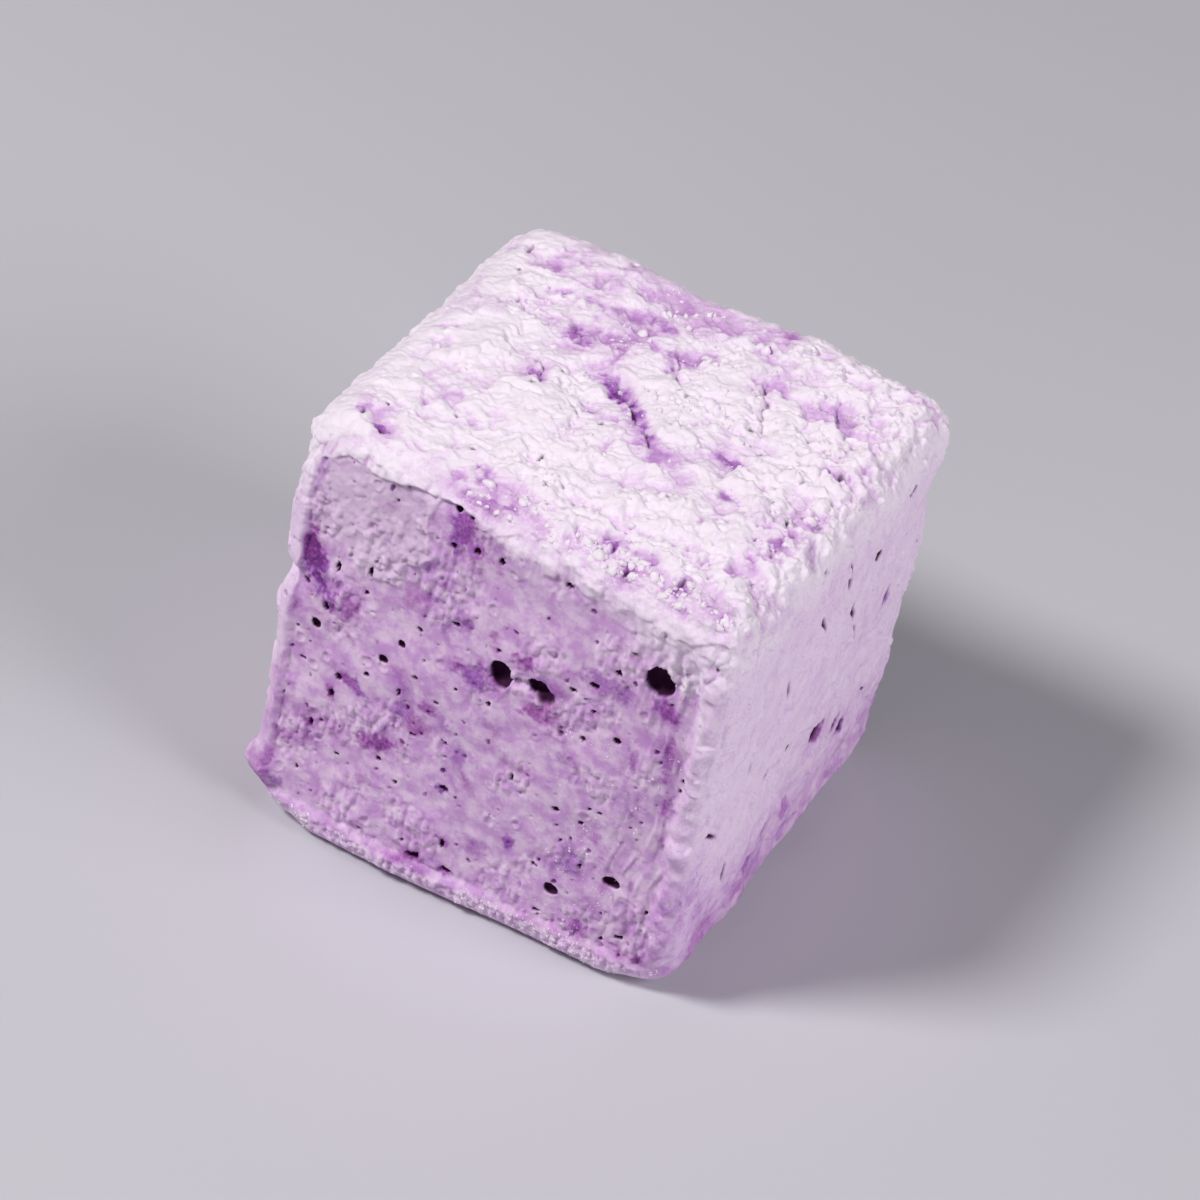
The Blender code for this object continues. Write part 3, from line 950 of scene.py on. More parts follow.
@dataclass(frozen=True)
class WallCrust:
    """An upright crusted side: soft powder, drips from the top edge, thin cracks and a few pores."""

    slits: tuple[Slit, ...] = ()
    bubbles: tuple[Bubble, ...] = ()
    stains: tuple[Stain, ...] = ()
    purple_below: float = 10.0
    dusting: float = 0.66

    def relief(self, patch: Patch, across: Array) -> Relief:
        """Relief of one upright side.

        Args:
            patch: points on or near the side.
            across: the side's own level coordinate at each point.

        Returns:
            The relief there.
        """
        point = patch.point
        z = point[:, 2]
        made = Relief.flat(len(point))
        top = smooth((z - 23.5) / 4.5)
        made.height += 0.10 * noise(point, 4.5, 201) + 0.05 * noise(point, 1.8, 202)
        drips = noise(point, (0.8, 0.8, 5.0), 203) + 0.5 * noise(point, (0.35, 0.35, 2.6), 204)
        made.form(drips * (0.055 + 0.16 * top))
        made.form(0.030 * noise(point, (0.45, 0.45, 0.9), 205) + 0.016 * noise(point, 0.24, 206))
        level = layered(warped(point, 1.4, 0.6, 207), 3.0, 208, 3)
        made.form(0.17 * (smooth((level - 0.12) / 0.14) - 0.3))
        chips = Cells.around(warped(point, 0.6, 0.25, 210), 0.9, 211)
        lumpy = 0.6 * smooth((noise(point, 3.5, 212) - 0.1) / 0.4) + 0.7 * top
        made.form(0.15 * lumpy * (chips.lumps(0.6) - 0.4))

        ragged = noise(point, 0.8, 215) + 0.6 * noise(point, 0.33, 216)
        for slit in self.slits:
            made.dig(slit.depth(across, z, ragged), 3.0)
        for bubble in self.bubbles:
            made.burst(bubble, across, z)
        made.dig(open_bubbles(patch, 2.2, (0.12, 0.32), 0.26, 221), 2.4)
        made.dig(open_bubbles(patch, 1.0, (0.07, 0.15), 0.28, 223), 3.0)

        marble = layered(warped(point, 3.0, 1.2, 225), 4.5, 228, 4, 0.6)
        # Purple rises and powder thins towards the bottom: painted shade, broken up by the foam's own
        # marbling.
        below = smooth((self.purple_below + 2.0 - z + 2.0 * marble) / 13.0)
        # Purple between the small forms, here and in the powder further on: painted shade.
        berry = (0.14 + 0.30 * below) * smooth((marble + 0.2) / 0.9) + 0.22 * below + 0.18 * made.crevice_shade
        for stain in self.stains:
            berry = np.maximum(berry, stain.share(across, z, ragged))
        # Purple in holes: painted shade.
        made.berry = np.clip(np.maximum(berry, 0.5 * smooth(made.hole_shade)), 0.0, 1.0)
        made.hue = smooth(0.45 + noise(point, 3.5, 229))
        powder = self.dusting - 0.50 * below + 0.2 * top - 0.25 * made.crevice_shade + 0.12 * marble
        made.powder = np.clip(powder - 0.6 * made.berry, 0.0, 1.0)
        return made


RIGHT_WALL = WallCrust(
    slits=(
        Slit((0.8, 24.8), (1.0, 22.6)), Slit((2.0, 21.4), (1.6, 20.0)),
        Slit((-5.9, 20.2), (-5.8, 18.4), 0.14, 0.40), Slit((-14.3, 13.1), (-12.4, 11.7), 0.14, 0.45),
        Slit((2.6, 19.3), (3.4, 17.2), 0.12, 0.3), Slit((-10.1, 16.4), (-9.9, 15.2), 0.14, 0.40),
        Slit((7.7, 21.8), (9.0, 21.6), 0.13, 0.35), Slit((-10.8, 8.8), (-10.4, 6.6), 0.14, 0.40),
        Slit((4.8, 16.6), (5.2, 15.8), 0.14, 0.4), Slit((-2.8, 23.0), (-2.6, 21.6), 0.13, 0.35),
        Slit((11.8, 19.9), (12.2, 18.8), 0.14, 0.4),
    ),
    bubbles=(
        Bubble(0.9, 11.3, 0.95, 0.85), Bubble(5.6, 8.5, 0.5, 0.55, 0.0), Bubble(4.1, 9.7, 0.4, 0.4, 0.0),
        Bubble(9.2, 25.3, 0.45, 0.45, 0.05), Bubble(4.7, 23.1, 0.45, 0.4, 0.05),
        Bubble(5.5, 24.4, 0.3, 0.3), Bubble(8.1, 17.6, 0.35, 0.45, 0.0), Bubble(-6.6, 12.8, 0.35, 0.3, 0.0),
        Bubble(-4.3, 13.5, 0.3, 0.3, 0.0), Bubble(-11.5, 5.8, 0.14, 0.14), Bubble(8.2, 12.0, 0.25, 0.15),
        Bubble(8.3, 9.9, 0.25, 0.15),
    ),
    stains=(
        Stain(1.2, 10.9, 1.3, 1.2, 0.7), Stain(4.2, 9.6, 1.0, 0.8, 0.55), Stain(5.6, 8.5, 0.9, 0.9, 0.65),
        Stain(8.1, 17.5, 0.8, 1.0, 0.6), Stain(-6.2, 5.0, 1.1, 1.0, 0.6), Stain(-1.5, 6.3, 0.7, 1.5, 0.45),
        Stain(-9.5, 27.2, 3.0, 1.2, 0.3, -25.0), Stain(13.6, 21.3, 1.2, 0.7, 0.35),
        Stain(-14.6, 9.0, 1.2, 2.2, 0.4),
    ),
)
PLAIN_WALL = WallCrust()
FRONT_WALL = WallCrust(purple_below=14.0, dusting=0.62)


@dataclass(frozen=True)
class Crust:
    """Everything that lies on the block: cut face, powdered top and other sides, joined without a break."""

    cut: CutFace = field(default_factory=CutFace)
    top: TopCrust = field(default_factory=TopCrust)
    base_rim: float = 2.2

    def opened(self, patch: Patch) -> Patch:
        """The patch with its points drawn to the rims of the large bubbles."""
        return rimmed(rimmed(patch, Side.FRONT, self.cut.bubbles), Side.RIGHT, RIGHT_WALL.bubbles)

    def relief(self, patch: Patch) -> Relief:
        """The whole relief: each side's own, shared out by how far the normal faces that side.

        Args:
            patch: any points of the block.

        Returns:
            The relief there, the same for points that two sides share.
        """
        point, normal = patch.point, patch.normal
        whole = Relief.flat(len(point))
        inside = self.cut.inside(patch)
        crusted = 1.0 - inside
        self._add(whole, patch, inside, self.cut.relief)
        self._add(whole, patch, crusted * Side.TOP.facing(normal), self.top.relief)
        walls = (
            (Side.RIGHT, RIGHT_WALL, 1, 1.0), (Side.LEFT, PLAIN_WALL, 1, -1.0),
            (Side.BACK, PLAIN_WALL, 0, -1.0), (Side.FRONT, FRONT_WALL, 0, 1.0),
        )
        for side, wall, axis, sign in walls:
            self._add(
                whole, patch, crusted * side.facing(normal),
                lambda part, wall=wall, axis=axis, sign=sign: wall.relief(part, sign * part.point[:, axis]),
            )
        whole.height += self.cut.ridge(patch) - self.cut.sunk * inside
        self._base_rim(whole, patch, crusted)
        self._base(whole, patch)
        return whole

    @staticmethod
    def _add(whole: Relief, patch: Patch, share: Array, relief) -> None:
        """Adds a relief where its share counts, working it out only there."""
        chosen = np.flatnonzero(share > 1e-4)
        if len(chosen):
            whole.add(relief(patch.part(chosen)), share[chosen], chosen)

    def _base_rim(self, whole: Relief, patch: Patch, crusted: Array) -> None:
        """Sugar grit along the foot of the cut face: small beads between upright furrows, and paler.

        Args:
            whole: the relief to add to.
            patch: points of the block.
            crusted: share of crust at each point.
        """
        z = patch.point[:, 2]
        foot = crusted * Side.FRONT.facing(patch.normal) * smooth((self.base_rim - z) / 0.5)
        chosen = np.flatnonzero(foot > 1e-4)
        point = patch.point[chosen]
        beads = Cells.around(point, 0.40, 301).lumps(0.6)
        furrows = noise(point, (0.38, 3.0, 2.4), 302)
        whole.height[chosen] += foot[chosen] * (0.15 * beads + 0.11 * furrows - 0.05)
        whole.powder[chosen] += foot[chosen] * (0.30 + 0.30 * beads + 0.2 * furrows)
        whole.berry[chosen] *= 1.0 - 0.8 * foot[chosen]
        whole.hole_shade[chosen] *= 1.0 - 0.7 * foot[chosen]

    @staticmethod
    def _base(whole: Relief, patch: Patch) -> None:
        """The flat underside: powder pressed level, with shallow dents that only go inwards.

        Args:
            whole: the relief to add to.
            patch: points of the block.
        """
        down = Side.BASE.facing(patch.normal)
        dents = 0.05 * smooth(noise(patch.point, 1.4, 311)) + 0.03 * smooth(noise(patch.point, 0.4, 312))
        whole.height = whole.height * (1.0 - smooth(down / 0.5)) - down * dents
        whole.powder += 0.7 * down
        whole.berry += 0.2 * down * smooth(noise(patch.point, 3.0, 313))


# ---------------------------------------------------------------- meshes


def shaped(name: str, point: Array, corners: Array, material: bpy.types.Material) -> bpy.types.Object:
    """An object of this mesh, smooth shaded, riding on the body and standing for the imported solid.

    Args:
        name: the piece's name.
        point: vertices in millimetres.
        corners: vertex numbers of each face, one row a face, with -1 last for a triangle.
        material: its finish.

    Returns:
        The object, at the origin.
    """
    mesh = bpy.data.meshes.new(name)
    kept = corners >= 0
    counts = kept.sum(axis=1)
    mesh.vertices.add(len(point))
    mesh.vertices.foreach_set("co", (point * MM).astype(np.float32).ravel())
    mesh.loops.add(int(counts.sum()))
    mesh.loops.foreach_set("vertex_index", corners[kept].astype(np.int32))
    mesh.polygons.add(len(corners))
    starts = np.concatenate([[0], np.cumsum(counts)[:-1]])
    mesh.polygons.foreach_set("loop_start", starts.astype(np.int32))
    mesh.update(calc_edges=True)
    mesh.polygons.foreach_set("use_smooth", np.ones(len(corners), bool))
    mesh.materials.append(material)
    piece = bpy.data.objects.new(name, mesh)
    bpy.context.scene.collection.objects.link(piece)
    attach(piece, BODY)
    return piece


@dataclass(frozen=True)
class Skin:
    """One side of the block as a closed slab: a fine grid outside, and a coarse well behind it."""

    side: Side
    block: Block
    crust: Crust
    cells: int
    well: tuple[float, ...] = (0.90, 0.72)

    def grid(self) -> Array:
        """The side's points on the unit cube, row by row, from -1 to 1 both ways."""
        axis, sign, across, up = self.side.value
        steps = np.linspace(-1.0, 1.0, self.cells + 1)
        unit = np.empty((self.cells + 1, self.cells + 1, 3))
        unit[..., axis] = sign
        unit[..., across] = steps[None, :]
        unit[..., up] = steps[:, None]
        return unit.reshape(-1, 3)

    def rim(self) -> Array:
        """Numbers of the grid's border points, in order round it."""
        n = self.cells
        number = np.arange((n + 1) ** 2).reshape(n + 1, n + 1)
        return np.concatenate([number[0, :-1], number[:-1, -1], number[-1, :0:-1], number[:0:-1, 0]])

    def faces(self) -> Array:
        """Quads of the grid, of the well's walls, and the triangles of its floor, all facing outwards."""
        n = self.cells
        number = np.arange((n + 1) ** 2).reshape(n + 1, n + 1)
        quads = np.stack([number[:-1, :-1], number[:-1, 1:], number[1:, 1:], number[1:, :-1]], axis=-1)
        parts, ring, count = [quads.reshape(-1, 4)], self.rim(), (n + 1) ** 2
        for _ in self.well:
            inner = np.arange(count, count + len(ring))
            parts.append(np.stack([ring, inner, np.roll(inner, -1), np.roll(ring, -1)], axis=1))
            ring, count = inner, count + len(inner)
        floor = np.stack([ring, np.full(len(ring), count), np.roll(ring, -1)], axis=1)
        axis, sign, across, up = self.side.value
        step = np.eye(3)
        order = -1 if np.cross(step[across], step[up])[axis] * sign < 0 else 1
        none = np.full((len(floor), 1), -1)
        return np.concatenate([*(part[:, ::order] for part in parts), np.hstack([floor[:, ::order], none])])

    def build(self, material: bpy.types.Material) -> bpy.types.Object:
        """Makes the skin's mesh with its looks as attributes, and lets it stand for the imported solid.

        Args:
            material: its finish.

        Returns:
            The object.
        """
        patch = self.crust.opened(self.block.patch(self.grid()))
        relief = self.crust.relief(patch)
        point = patch.point + patch.normal * relief.height[:, None]
        point[:, 2] = np.maximum(point[:, 2], 0.0)
        middle = np.array([0.0, 0.0, self.block.half[2]])
        ring = point[self.rim()]
        inner = [middle + (ring - middle) * share for share in self.well]
        apex = middle + (point.mean(axis=0) - middle) * self.well[-1]
        every = np.concatenate([point, *inner, apex[None]])
        piece = shaped(f"{self.side.name.lower()}_skin", every, self.faces(), material)
        self._mark(piece.data, relief)
        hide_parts(NODE)
        return piece

    def _mark(self, mesh: bpy.types.Mesh, relief: Relief) -> None:
        """Stores the looks, and keeps the border sharp so that the well doesn't tilt its normals.

        Args:
            mesh: the skin's mesh.
            relief: the relief with its looks.
        """
        outer = (self.cells + 1) ** 2
        for name in LOOKS:
            values = np.zeros(len(mesh.vertices), np.float32)
            values[:outer] = np.clip(getattr(relief, name), 0.0, 1.0)
            mesh.attributes.new(name, "FLOAT", "POINT").data.foreach_set("value", values)
        on_rim = np.zeros(len(mesh.vertices), bool)
        on_rim[self.rim()] = True
        ends = np.empty(len(mesh.edges) * 2, np.int32)
        mesh.edges.foreach_get("vertices", ends)
        sharp = on_rim[ends.reshape(-1, 2)].all(axis=1)
        mesh.attributes.new("sharp_edge", "BOOLEAN", "EDGE").data.foreach_set("value", sharp)


class Shape(Enum):
    """Small shapes of unit size: a knobby clump of 32 triangles, and a sugar crystal of 12."""

    CLUMP = "clump"
    CRYSTAL = "crystal"

    def mesh(self) -> tuple[Array, Array]:
        """Points and triangles: an octahedron with each side cut in four, or a block."""
        if self is Shape.CRYSTAL:
            point = np.array([[x, y, z] for x in (-1, 1) for y in (-1, 1) for z in (-1, 1)], float)
            quads = ((0, 1, 3, 2), (4, 6, 7, 5), (0, 4, 5, 1), (2, 3, 7, 6), (0, 2, 6, 4), (1, 5, 7, 3))
            faces = np.array([tri for a, b, c, d in quads for tri in ((a, b, c), (a, c, d))])
            return point * 0.62, faces
        corners = np.vstack([np.eye(3), -np.eye(3)])
        upper = [[0, 1, 2], [1, 3, 2], [3, 4, 2], [4, 0, 2]]
        lower = [[1, 0, 5], [3, 1, 5], [4, 3, 5], [0, 4, 5]]
        sides = np.array(upper + lower)
        first, second, third = (corners[sides[:, k]] for k in range(3))
        halves = [(first + second) / 2, (second + third) / 2, (third + first) / 2]
        rows = [first, second, third, *halves]
        order = ((0, 3, 5), (3, 1, 4), (5, 4, 2), (3, 4, 5))
        triangles = np.concatenate([np.stack([rows[k] for k in tri], axis=1) for tri in order])
        point, number = np.unique(np.round(triangles.reshape(-1, 3), 6), axis=0, return_inverse=True)
        return point / np.linalg.norm(point, axis=1)[:, None], number.reshape(-1, 3)


@dataclass(frozen=True)
class Scatter:
    """Loose bits that stick to the skin: one piece of many small closed shapes sunk into it.

    span is where they lie on the side of the unit cube, across and then up. radius is the smallest and the
    largest. gather is how strongly slow noise draws them together. powder and hue are looks of the skin.
    """

    name: str
    shape: Shape
    count: int
    side: Side
    span: tuple[float, float, float, float]
    radius: tuple[float, float]
    gather: float
    seed: int
    powder: float = 1.0
    hue: float = 0.4

    def build(self, block: Block, crust: Crust, material: bpy.types.Material) -> bpy.types.Object:
        """Scatters the shapes: places drawn in the span, kept where slow noise is high, turned and squashed.

        Args:
            block: the block they lie on.
            crust: its relief, so that they sit on the surface as it is.
            material: their finish.

        Returns:
            The piece.
        """
        tried, sunk, mostly_small = 4, 0.3, 2.2
        draw = np.random.default_rng(self.seed)
        axis, sign, across, up = self.side.value
        low_a, high_a, low_u, high_u = self.span
        tries = self.count * tried
        unit = np.empty((tries, 3))
        unit[:, axis] = sign
        unit[:, across] = draw.uniform(low_a, high_a, tries)
        unit[:, up] = draw.uniform(low_u, high_u, tries)
        patch = block.patch(unit)
        rank = noise(patch.point, 2.2, self.seed) * self.gather + draw.uniform(-0.5, 0.5, tries)
        patch = patch.part(np.argsort(-rank)[: self.count])
        relief = crust.relief(patch)
        size = self.radius[0] * (self.radius[1] / self.radius[0]) ** (draw.random(self.count) ** mostly_small)
        middle = patch.point + patch.normal * (relief.height - sunk * size)[:, None]
        point, faces = self.shape.mesh()
        turn = np.linalg.qr(draw.normal(size=(self.count, 3, 3)))[0]
        turn *= np.sign(np.linalg.det(turn))[:, None, None]
        stretch = draw.uniform(0.5, 1.3, (self.count, 1, 3))
        uneven = 0.32 * draw.uniform(-1.0, 1.0, (self.count, len(point), 1))
        bumpy = 1.0 + uneven * (self.shape is Shape.CLUMP)
        laid = (point[None] * stretch * bumpy) @ turn * size[:, None, None] + middle[:, None]
        laid[..., 2] = np.maximum(laid[..., 2], 0.0)
        every = (faces[None] + len(point) * np.arange(self.count)[:, None, None]).reshape(-1, 3)
        every = np.hstack([every, np.full((len(every), 1), -1)])
        piece = shaped(self.name, laid.reshape(-1, 3), every, material)
        for look in LOOKS:
            value = np.full(laid.shape[0] * laid.shape[1], getattr(self, look, 0.0), np.float32)
            piece.data.attributes.new(look, "FLOAT", "POINT").data.foreach_set("value", value)
        if self.shape is Shape.CRYSTAL:
            piece.data.polygons.foreach_set("use_smooth", np.zeros(len(every), bool))
        return piece


# ---------------------------------------------------------------- finishes


class Wiring:
    """Short ways to place and join the nodes of one material or group."""

    def __init__(self, tree: bpy.types.NodeTree) -> None:
        """Works on this tree."""
        self.tree = tree

    def put(self, kind: str, links: dict | None = None, **settings) -> bpy.types.Node:
        """A node of this kind, with settings on the node and links or values on its inputs.

        Args:
            kind: the type of node.
            links: input names or numbers, with a socket to link or a value to set.

        Returns:
            The node.
        """
        node = self.tree.nodes.new(kind)
        for name, value in settings.items():
            setattr(node, name, value)
        for name, value in (links or {}).items():
            if isinstance(value, bpy.types.NodeSocket):
                self.tree.links.new(value, node.inputs[name])
            else:
                node.inputs[name].default_value = value
        return node

    def math(self, operation: str, first, second=0.0, clamp: bool = False) -> bpy.types.NodeSocket:
        """The result of one sum on two values or sockets."""
        node = self.put("ShaderNodeMath", {0: first, 1: second}, operation=operation, use_clamp=clamp)
        return node.outputs[0]

    def step(self, value, low: float, high: float) -> bpy.types.NodeSocket:
        """Value eased from 0 at low to 1 at high."""
        links = {"Value": value, "From Min": low, "From Max": high}
        return self.put("ShaderNodeMapRange", links, interpolation_type="SMOOTHSTEP").outputs["Result"]

    def mix(self, share, first, second) -> bpy.types.NodeSocket:
        """Two colours mixed by share."""
        node = self.put("ShaderNodeMix", {0: share, 6: first, 7: second}, data_type="RGBA")
        return node.outputs[2]

    def noise(self, vector, scale: float, detail: float = 2.0, rough: float = 0.5) -> bpy.types.NodeSocket:
        """Noise at scale waves a millimetre."""
        links = {"Vector": vector, "Scale": scale, "Detail": detail, "Roughness": rough}
        return self.put("ShaderNodeTexNoise", links).outputs["Fac"]

    def attribute(self, name: str) -> bpy.types.NodeSocket:
        """A look stored on the vertices."""
        return self.put("ShaderNodeAttribute", attribute_name=name).outputs["Fac"]


def group(
    name: str, inputs: dict[str, tuple], outputs: dict[str, str]
) -> tuple[bpy.types.NodeTree, Wiring]:
    """A shader node group with these sockets.

    Args:
        name: the group's name.
        inputs: socket type and default for each input name.
        outputs: socket type for each output name.

    Returns:
        The group and a wiring for it, with its input node named in and its output node named out.
    """
    tree = bpy.data.node_groups.new(name, "ShaderNodeTree")
    for label, (kind, default) in inputs.items():
        socket = tree.interface.new_socket(label, in_out="INPUT", socket_type=kind)
        if default is not None:
            socket.default_value = default
    for label, kind in outputs.items():
        tree.interface.new_socket(label, in_out="OUTPUT", socket_type=kind)
    tree.nodes.new("NodeGroupInput").name = "in"
    tree.nodes.new("NodeGroupOutput").name = "out"
    return tree, Wiring(tree)


def powder_group() -> bpy.types.NodeTree:
    """Powder grain: two noises of starch grains, as a height and as a mask that breaks up thin dusting."""
    tree, wire = group(
        "powder grain",
        {"Place": ("NodeSocketVector", None), "Cover": ("NodeSocketFloat", 1.0)},
        {"Height": "NodeSocketFloat", "Mask": "NodeSocketFloat"},
    )
    place, cover = tree.nodes["in"].outputs[:2]
    coarse = wire.noise(place, 5.0, 3.0, 0.6)
    fine = wire.noise(place, 14.0, 2.0, 0.6)
    height = wire.math("ADD", wire.math("MULTIPLY", coarse, 0.6), wire.math("MULTIPLY", fine, 0.4))
    broken = wire.math("ADD", cover, wire.math("MULTIPLY", wire.math("SUBTRACT", height, 0.5), 1.5))
    tree.links.new(height, tree.nodes["out"].inputs["Height"])
    tree.links.new(wire.step(broken, 0.1, 0.9), tree.nodes["out"].inputs["Mask"])
    return tree


def marble_group() -> bpy.types.NodeTree:
    """Berry marbling: drifting veins of the foam's own colour, with specks of fruit."""
    tree, wire = group(
        "berry marbling",
        {"Place": ("NodeSocketVector", None), "Stain": ("NodeSocketFloat", 0.0)},
        {"Share": "NodeSocketFloat", "Specks": "NodeSocketFloat"},
    )
    place, stain = tree.nodes["in"].outputs[:2]
    veins = wire.noise(place, 0.8, 5.0, 0.65)
    grit = wire.noise(place, 4.5, 3.0, 0.7)
    speckle = wire.math("MULTIPLY", wire.math("SUBTRACT", grit, 0.5), 1.1)
    share = wire.math("ADD", stain, wire.math("MULTIPLY", speckle, wire.math("ADD", stain, 0.12)))
    drift = wire.math("MULTIPLY", wire.math("SUBTRACT", veins, 0.5), 0.5)
    tree.links.new(wire.math("ADD", share, drift, clamp=True), tree.nodes["out"].inputs["Share"])
    specks = wire.step(wire.noise(place, 6.5, 2.0, 0.6), 0.68, 0.76)
    tree.links.new(specks, tree.nodes["out"].inputs["Specks"])
    return tree


@dataclass(frozen=True)
class Palette:
    """Colours, as linear red, green and blue."""

    foam_pale: tuple = (0.78, 0.59, 0.80, 1.0)
    foam: tuple = (0.60, 0.34, 0.67, 1.0)
    violet: tuple = (0.33, 0.11, 0.46, 1.0)
    magenta: tuple = (0.37, 0.095, 0.41, 1.0)
    dark_berry: tuple = (0.12, 0.012, 0.15, 1.0)
    # deep: near-black purple, painted as shade down holes and cracks.
    deep: tuple = (0.045, 0.003, 0.042, 1.0)
    film: tuple = (0.72, 0.57, 0.74, 1.0)
    powder: tuple = (0.87, 0.78, 0.88, 1.0)
    dust: tuple = (0.76, 0.57, 0.81, 1.0)


@dataclass(frozen=True)
class FoamFinish:
    """Sugar foam under powder: marbled lilac, purple in its stains, purple to near-black painted shade in its
    holes, white where dusted.
    """

    grain: bpy.types.NodeTree
    marble: bpy.types.NodeTree
    colours: Palette = Palette()
    roughness: float = 0.82
    soft: float = 0.15
    soft_reach: float = 0.3
    grain_high: float = 0.05

    def material(self) -> bpy.types.Material:
        """Builds the material."""
        made = bpy.data.materials.new("sugar foam and powder")
        made.use_nodes = True
        tree, wire, tone = made.node_tree, Wiring(made.node_tree), self.colours
        shader = tree.nodes["Principled BSDF"]
        place = wire.put("ShaderNodeTexCoord").outputs["Object"]
        in_mm = wire.put("ShaderNodeVectorMath", {0: place, "Scale": 1.0 / MM}, operation="SCALE")
        place = in_mm.outputs[0]
        looks = {name: wire.attribute(name) for name in LOOKS}
        marble = wire.put("ShaderNodeGroup", node_tree=self.marble)
        tree.links.new(place, marble.inputs["Place"])
        tree.links.new(looks["berry"], marble.inputs["Stain"])
        grain = wire.put("ShaderNodeGroup", node_tree=self.grain)
        tree.links.new(place, grain.inputs["Place"])
        tree.links.new(looks["powder"], grain.inputs["Cover"])

        drift = wire.step(wire.noise(place, 0.9, 4.0, 0.6), 0.35, 0.65)
        colour = wire.mix(drift, tone.foam_pale, tone.foam)
        colour = wire.mix(wire.math("MULTIPLY", looks["film"], 0.8), colour, tone.film)
        stain = wire.mix(looks["hue"], tone.violet, tone.magenta)
        share = marble.outputs["Share"]
        colour = wire.mix(wire.step(share, 0.0, 0.78), colour, stain)
        colour = wire.mix(wire.step(share, 0.62, 1.15), colour, tone.dark_berry)
        colour = wire.mix(wire.math("MULTIPLY", marble.outputs["Specks"], 0.3), colour, stain)
        dusted = wire.mix(wire.step(looks["powder"], 0.25, 0.95), tone.dust, tone.powder)
        colour = wire.mix(grain.outputs["Mask"], colour, dusted)
        # Painted shade: near-black purple down holes and cracks, as far as hollow says.
        colour = wire.mix(wire.step(looks["hole_shade"], 0.10, 0.85), colour, tone.deep)
        tree.links.new(colour, shader.inputs["Base Color"])

        rough = wire.math("ADD", self.roughness - 0.1, wire.math("MULTIPLY", grain.outputs["Mask"], 0.2))
        tree.links.new(rough, shader.inputs["Roughness"])
        height = {"Height": grain.outputs["Height"], "Strength": 0.8, "Distance": self.grain_high * MM}
        bump = wire.put("ShaderNodeBump", height)
        tree.links.new(bump.outputs["Normal"], shader.inputs["Normal"])
        shader.inputs["Subsurface Weight"].default_value = self.soft
        shader.inputs["Subsurface Radius"].default_value = (1.0, 0.75, 1.0)
        shader.inputs["Subsurface Scale"].default_value = self.soft_reach * MM
        shader.inputs["Specular IOR Level"].default_value = 0.25
        return made


# ---------------------------------------------------------------- studio


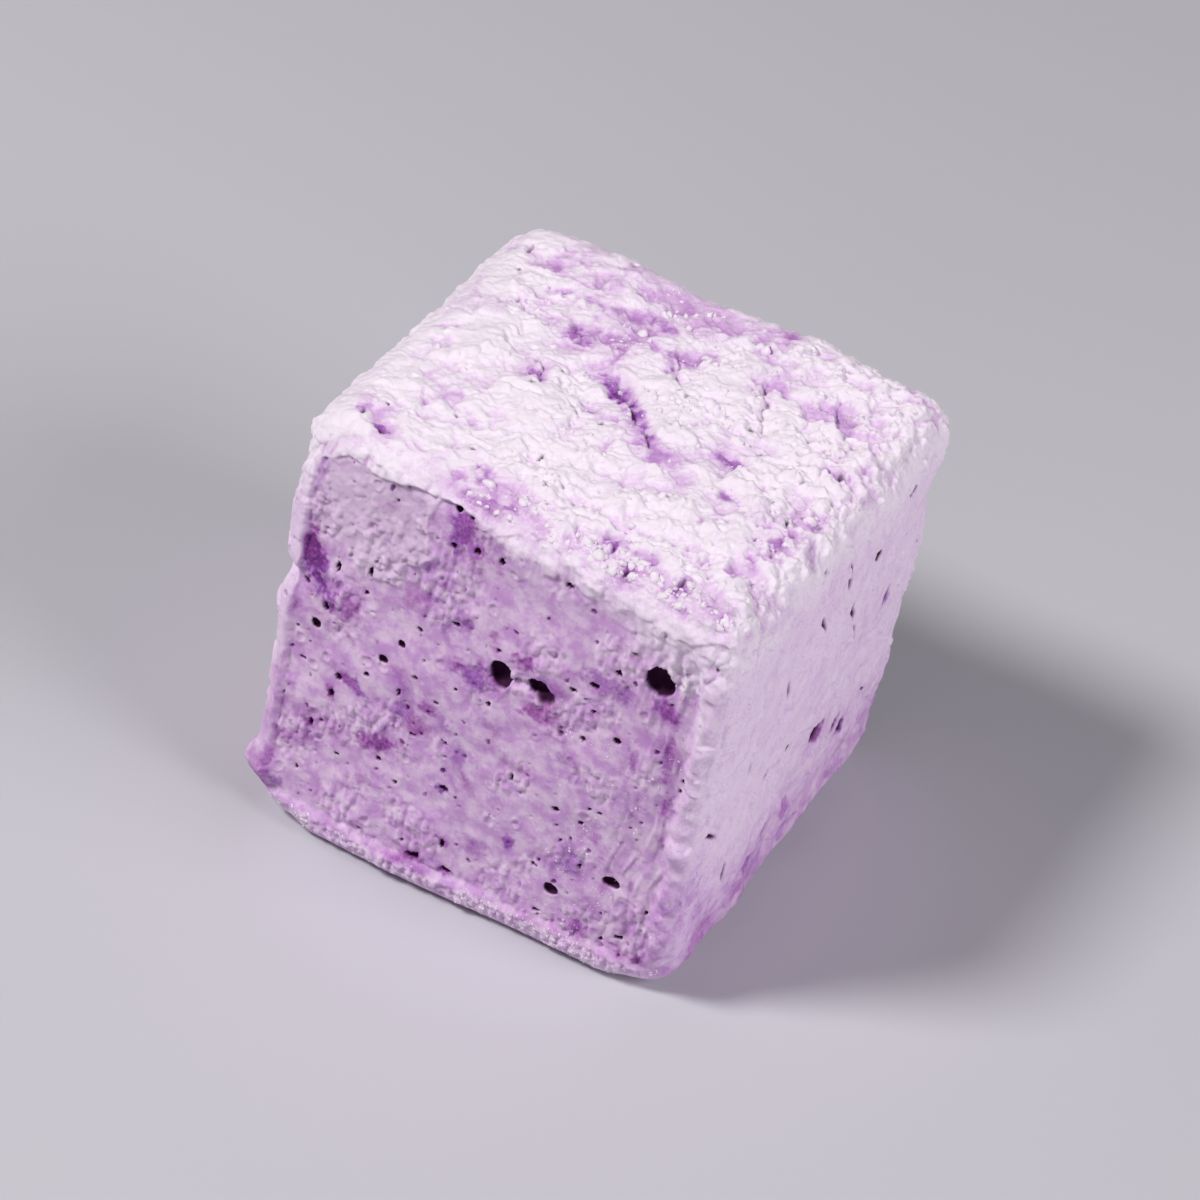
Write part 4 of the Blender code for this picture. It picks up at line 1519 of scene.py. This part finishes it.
@dataclass(frozen=True)
class Studio:
    """Pale floor, soft lamps and the camera. Angles are degrees: azimuth from -Y to +X, and height."""

    camera_azimuth: float = 20.8
    camera_height: float = 38.5
    camera_roll: float = 11.1
    camera_away: float = 263.0
    lens: float = 125.0
    floor_half: float = 1500.0
    # Each lamp: azimuth, height, distance, size, watts, colour.
    lamps: tuple = (
        ("key lamp", -50.0, 50.0, 600.0, 150.0, 2.9, (1.0, 0.985, 0.97)),
        ("right fill", 85.0, 32.0, 700.0, 450.0, 2.9, (1.0, 0.98, 1.0)),
        ("front fill", 5.0, 20.0, 800.0, 400.0, 0.3, (1.0, 0.97, 1.0)),
    )
    sky: float = 0.06

    @staticmethod
    def from_angles(azimuth: float, height: float) -> Vector:
        """The direction from the block at these angles."""
        turn, rise = math.radians(azimuth), math.radians(height)
        return Vector((math.sin(turn) * math.cos(rise), -math.cos(turn) * math.cos(rise), math.sin(rise)))

    def build(self, middle: Vector) -> None:
        """Sets up everything round the block, whose middle this is, in metres.

        Args:
            middle: the middle of the block, in metres.
        """
        scene = bpy.context.scene
        scene.view_settings.view_transform = "Standard"
        scene.view_settings.look = "None"
        self._camera(middle)
        for lamp in self.lamps:
            self._lamp(middle, *lamp)
        self._floor()
        scene.world = scene.world or bpy.data.worlds.new("studio")
        scene.world.use_nodes = True
        sky = scene.world.node_tree.nodes["Background"]
        sky.inputs["Color"].default_value = (0.97, 0.97, 1.0, 1.0)
        sky.inputs["Strength"].default_value = self.sky

    def _camera(self, middle: Vector) -> None:
        """The camera, aimed at the block's middle and rolled.

        Args:
            middle: the middle of the block, in metres.
        """
        data = bpy.data.cameras.new("camera")
        data.lens = self.lens
        data.clip_start, data.clip_end = 0.01, 20.0
        camera = bpy.data.objects.new("camera", data)
        bpy.context.scene.collection.objects.link(camera)
        away = self.from_angles(self.camera_azimuth, self.camera_height)
        turn = (-away).to_track_quat("-Z", "Y").to_matrix().to_4x4()
        roll = Matrix.Rotation(math.radians(self.camera_roll), 4, "Z")
        camera.matrix_world = Matrix.Translation(middle + away * self.camera_away * MM) @ turn @ roll
        bpy.context.scene.camera = camera

    def _lamp(
        self, middle: Vector, name: str, azimuth: float, height: float, away: float, size: float,
        watts: float, colour: tuple,
    ) -> None:
        """One square area lamp aimed at the block.

        Args:
            middle: the middle of the block, in metres.
            name: the lamp's name.
            azimuth: where it stands, from -Y towards +X.
            height: angle above the floor.
            away: distance from the middle.
            size: width of the square lamp.
            watts: its power.
            colour: its colour.
        """
        data = bpy.data.lights.new(name, "AREA")
        data.shape, data.size, data.energy, data.color = "DISK", size * MM, watts, colour
        lamp = bpy.data.objects.new(name, data)
        bpy.context.scene.collection.objects.link(lamp)
        way = self.from_angles(azimuth, height)
        turn = (-way).to_track_quat("-Z", "Y").to_matrix().to_4x4()
        lamp.matrix_world = Matrix.Translation(middle + way * away * MM) @ turn

    def _floor(self) -> None:
        """A wide level floor just under the base."""
        half = self.floor_half * MM
        mesh = bpy.data.meshes.new("floor")
        corners = [(-half, -half, 0.0), (half, -half, 0.0), (half, half, 0.0), (-half, half, 0.0)]
        mesh.from_pydata(corners, [], [(0, 1, 2, 3)])
        floor = bpy.data.objects.new("floor", mesh)
        bpy.context.scene.collection.objects.link(floor)
        finish = bpy.data.materials.new("pale floor")
        finish.use_nodes = True
        shader = finish.node_tree.nodes["Principled BSDF"]
        shader.inputs["Base Color"].default_value = (0.56, 0.55, 0.60, 1.0)
        shader.inputs["Roughness"].default_value = 0.7
        mesh.materials.append(finish)


def main() -> None:
    """Builds the skins, then the studio, and reports each piece."""
    logging.basicConfig(level=logging.INFO, format="%(message)s")
    block = Block.packed()
    crust = Crust()
    finish = FoamFinish(powder_group(), marble_group()).material()
    cells = 300
    for side in Side:
        piece = Skin(side, block, crust, cells).build(finish)
        log.info("%s: %d faces", piece.name, len(piece.data.polygons))
    foot, face = (-0.95, 0.98, -0.98, -0.86), (0.3, 0.96, -0.95, 0.3)
    whole_top, top_edge = (-0.3, 0.88, -0.95, 0.85), (-0.3, 0.93, -0.98, -0.84)
    scattered = (
        Scatter("top_crumbs", Shape.CLUMP, 320, Side.TOP, whole_top, (0.10, 0.42), 0.7, 401),
        Scatter("edge_crumbs", Shape.CLUMP, 110, Side.TOP, top_edge, (0.12, 0.45), 0.5, 402),
        Scatter("foot_grains", Shape.CRYSTAL, 500, Side.FRONT, foot, (0.06, 0.13), 0.8, 403),
        Scatter("face_grains", Shape.CRYSTAL, 260, Side.FRONT, face, (0.05, 0.10), 2.4, 404),
    )
    for scatter in scattered:
        piece = scatter.build(block, crust, finish)
        log.info("%s: %d faces", piece.name, len(piece.data.polygons))
    Studio().build(Vector((0.0, 0.0, block.half[2] * MM)))


if __name__ == "__main__":
    main()
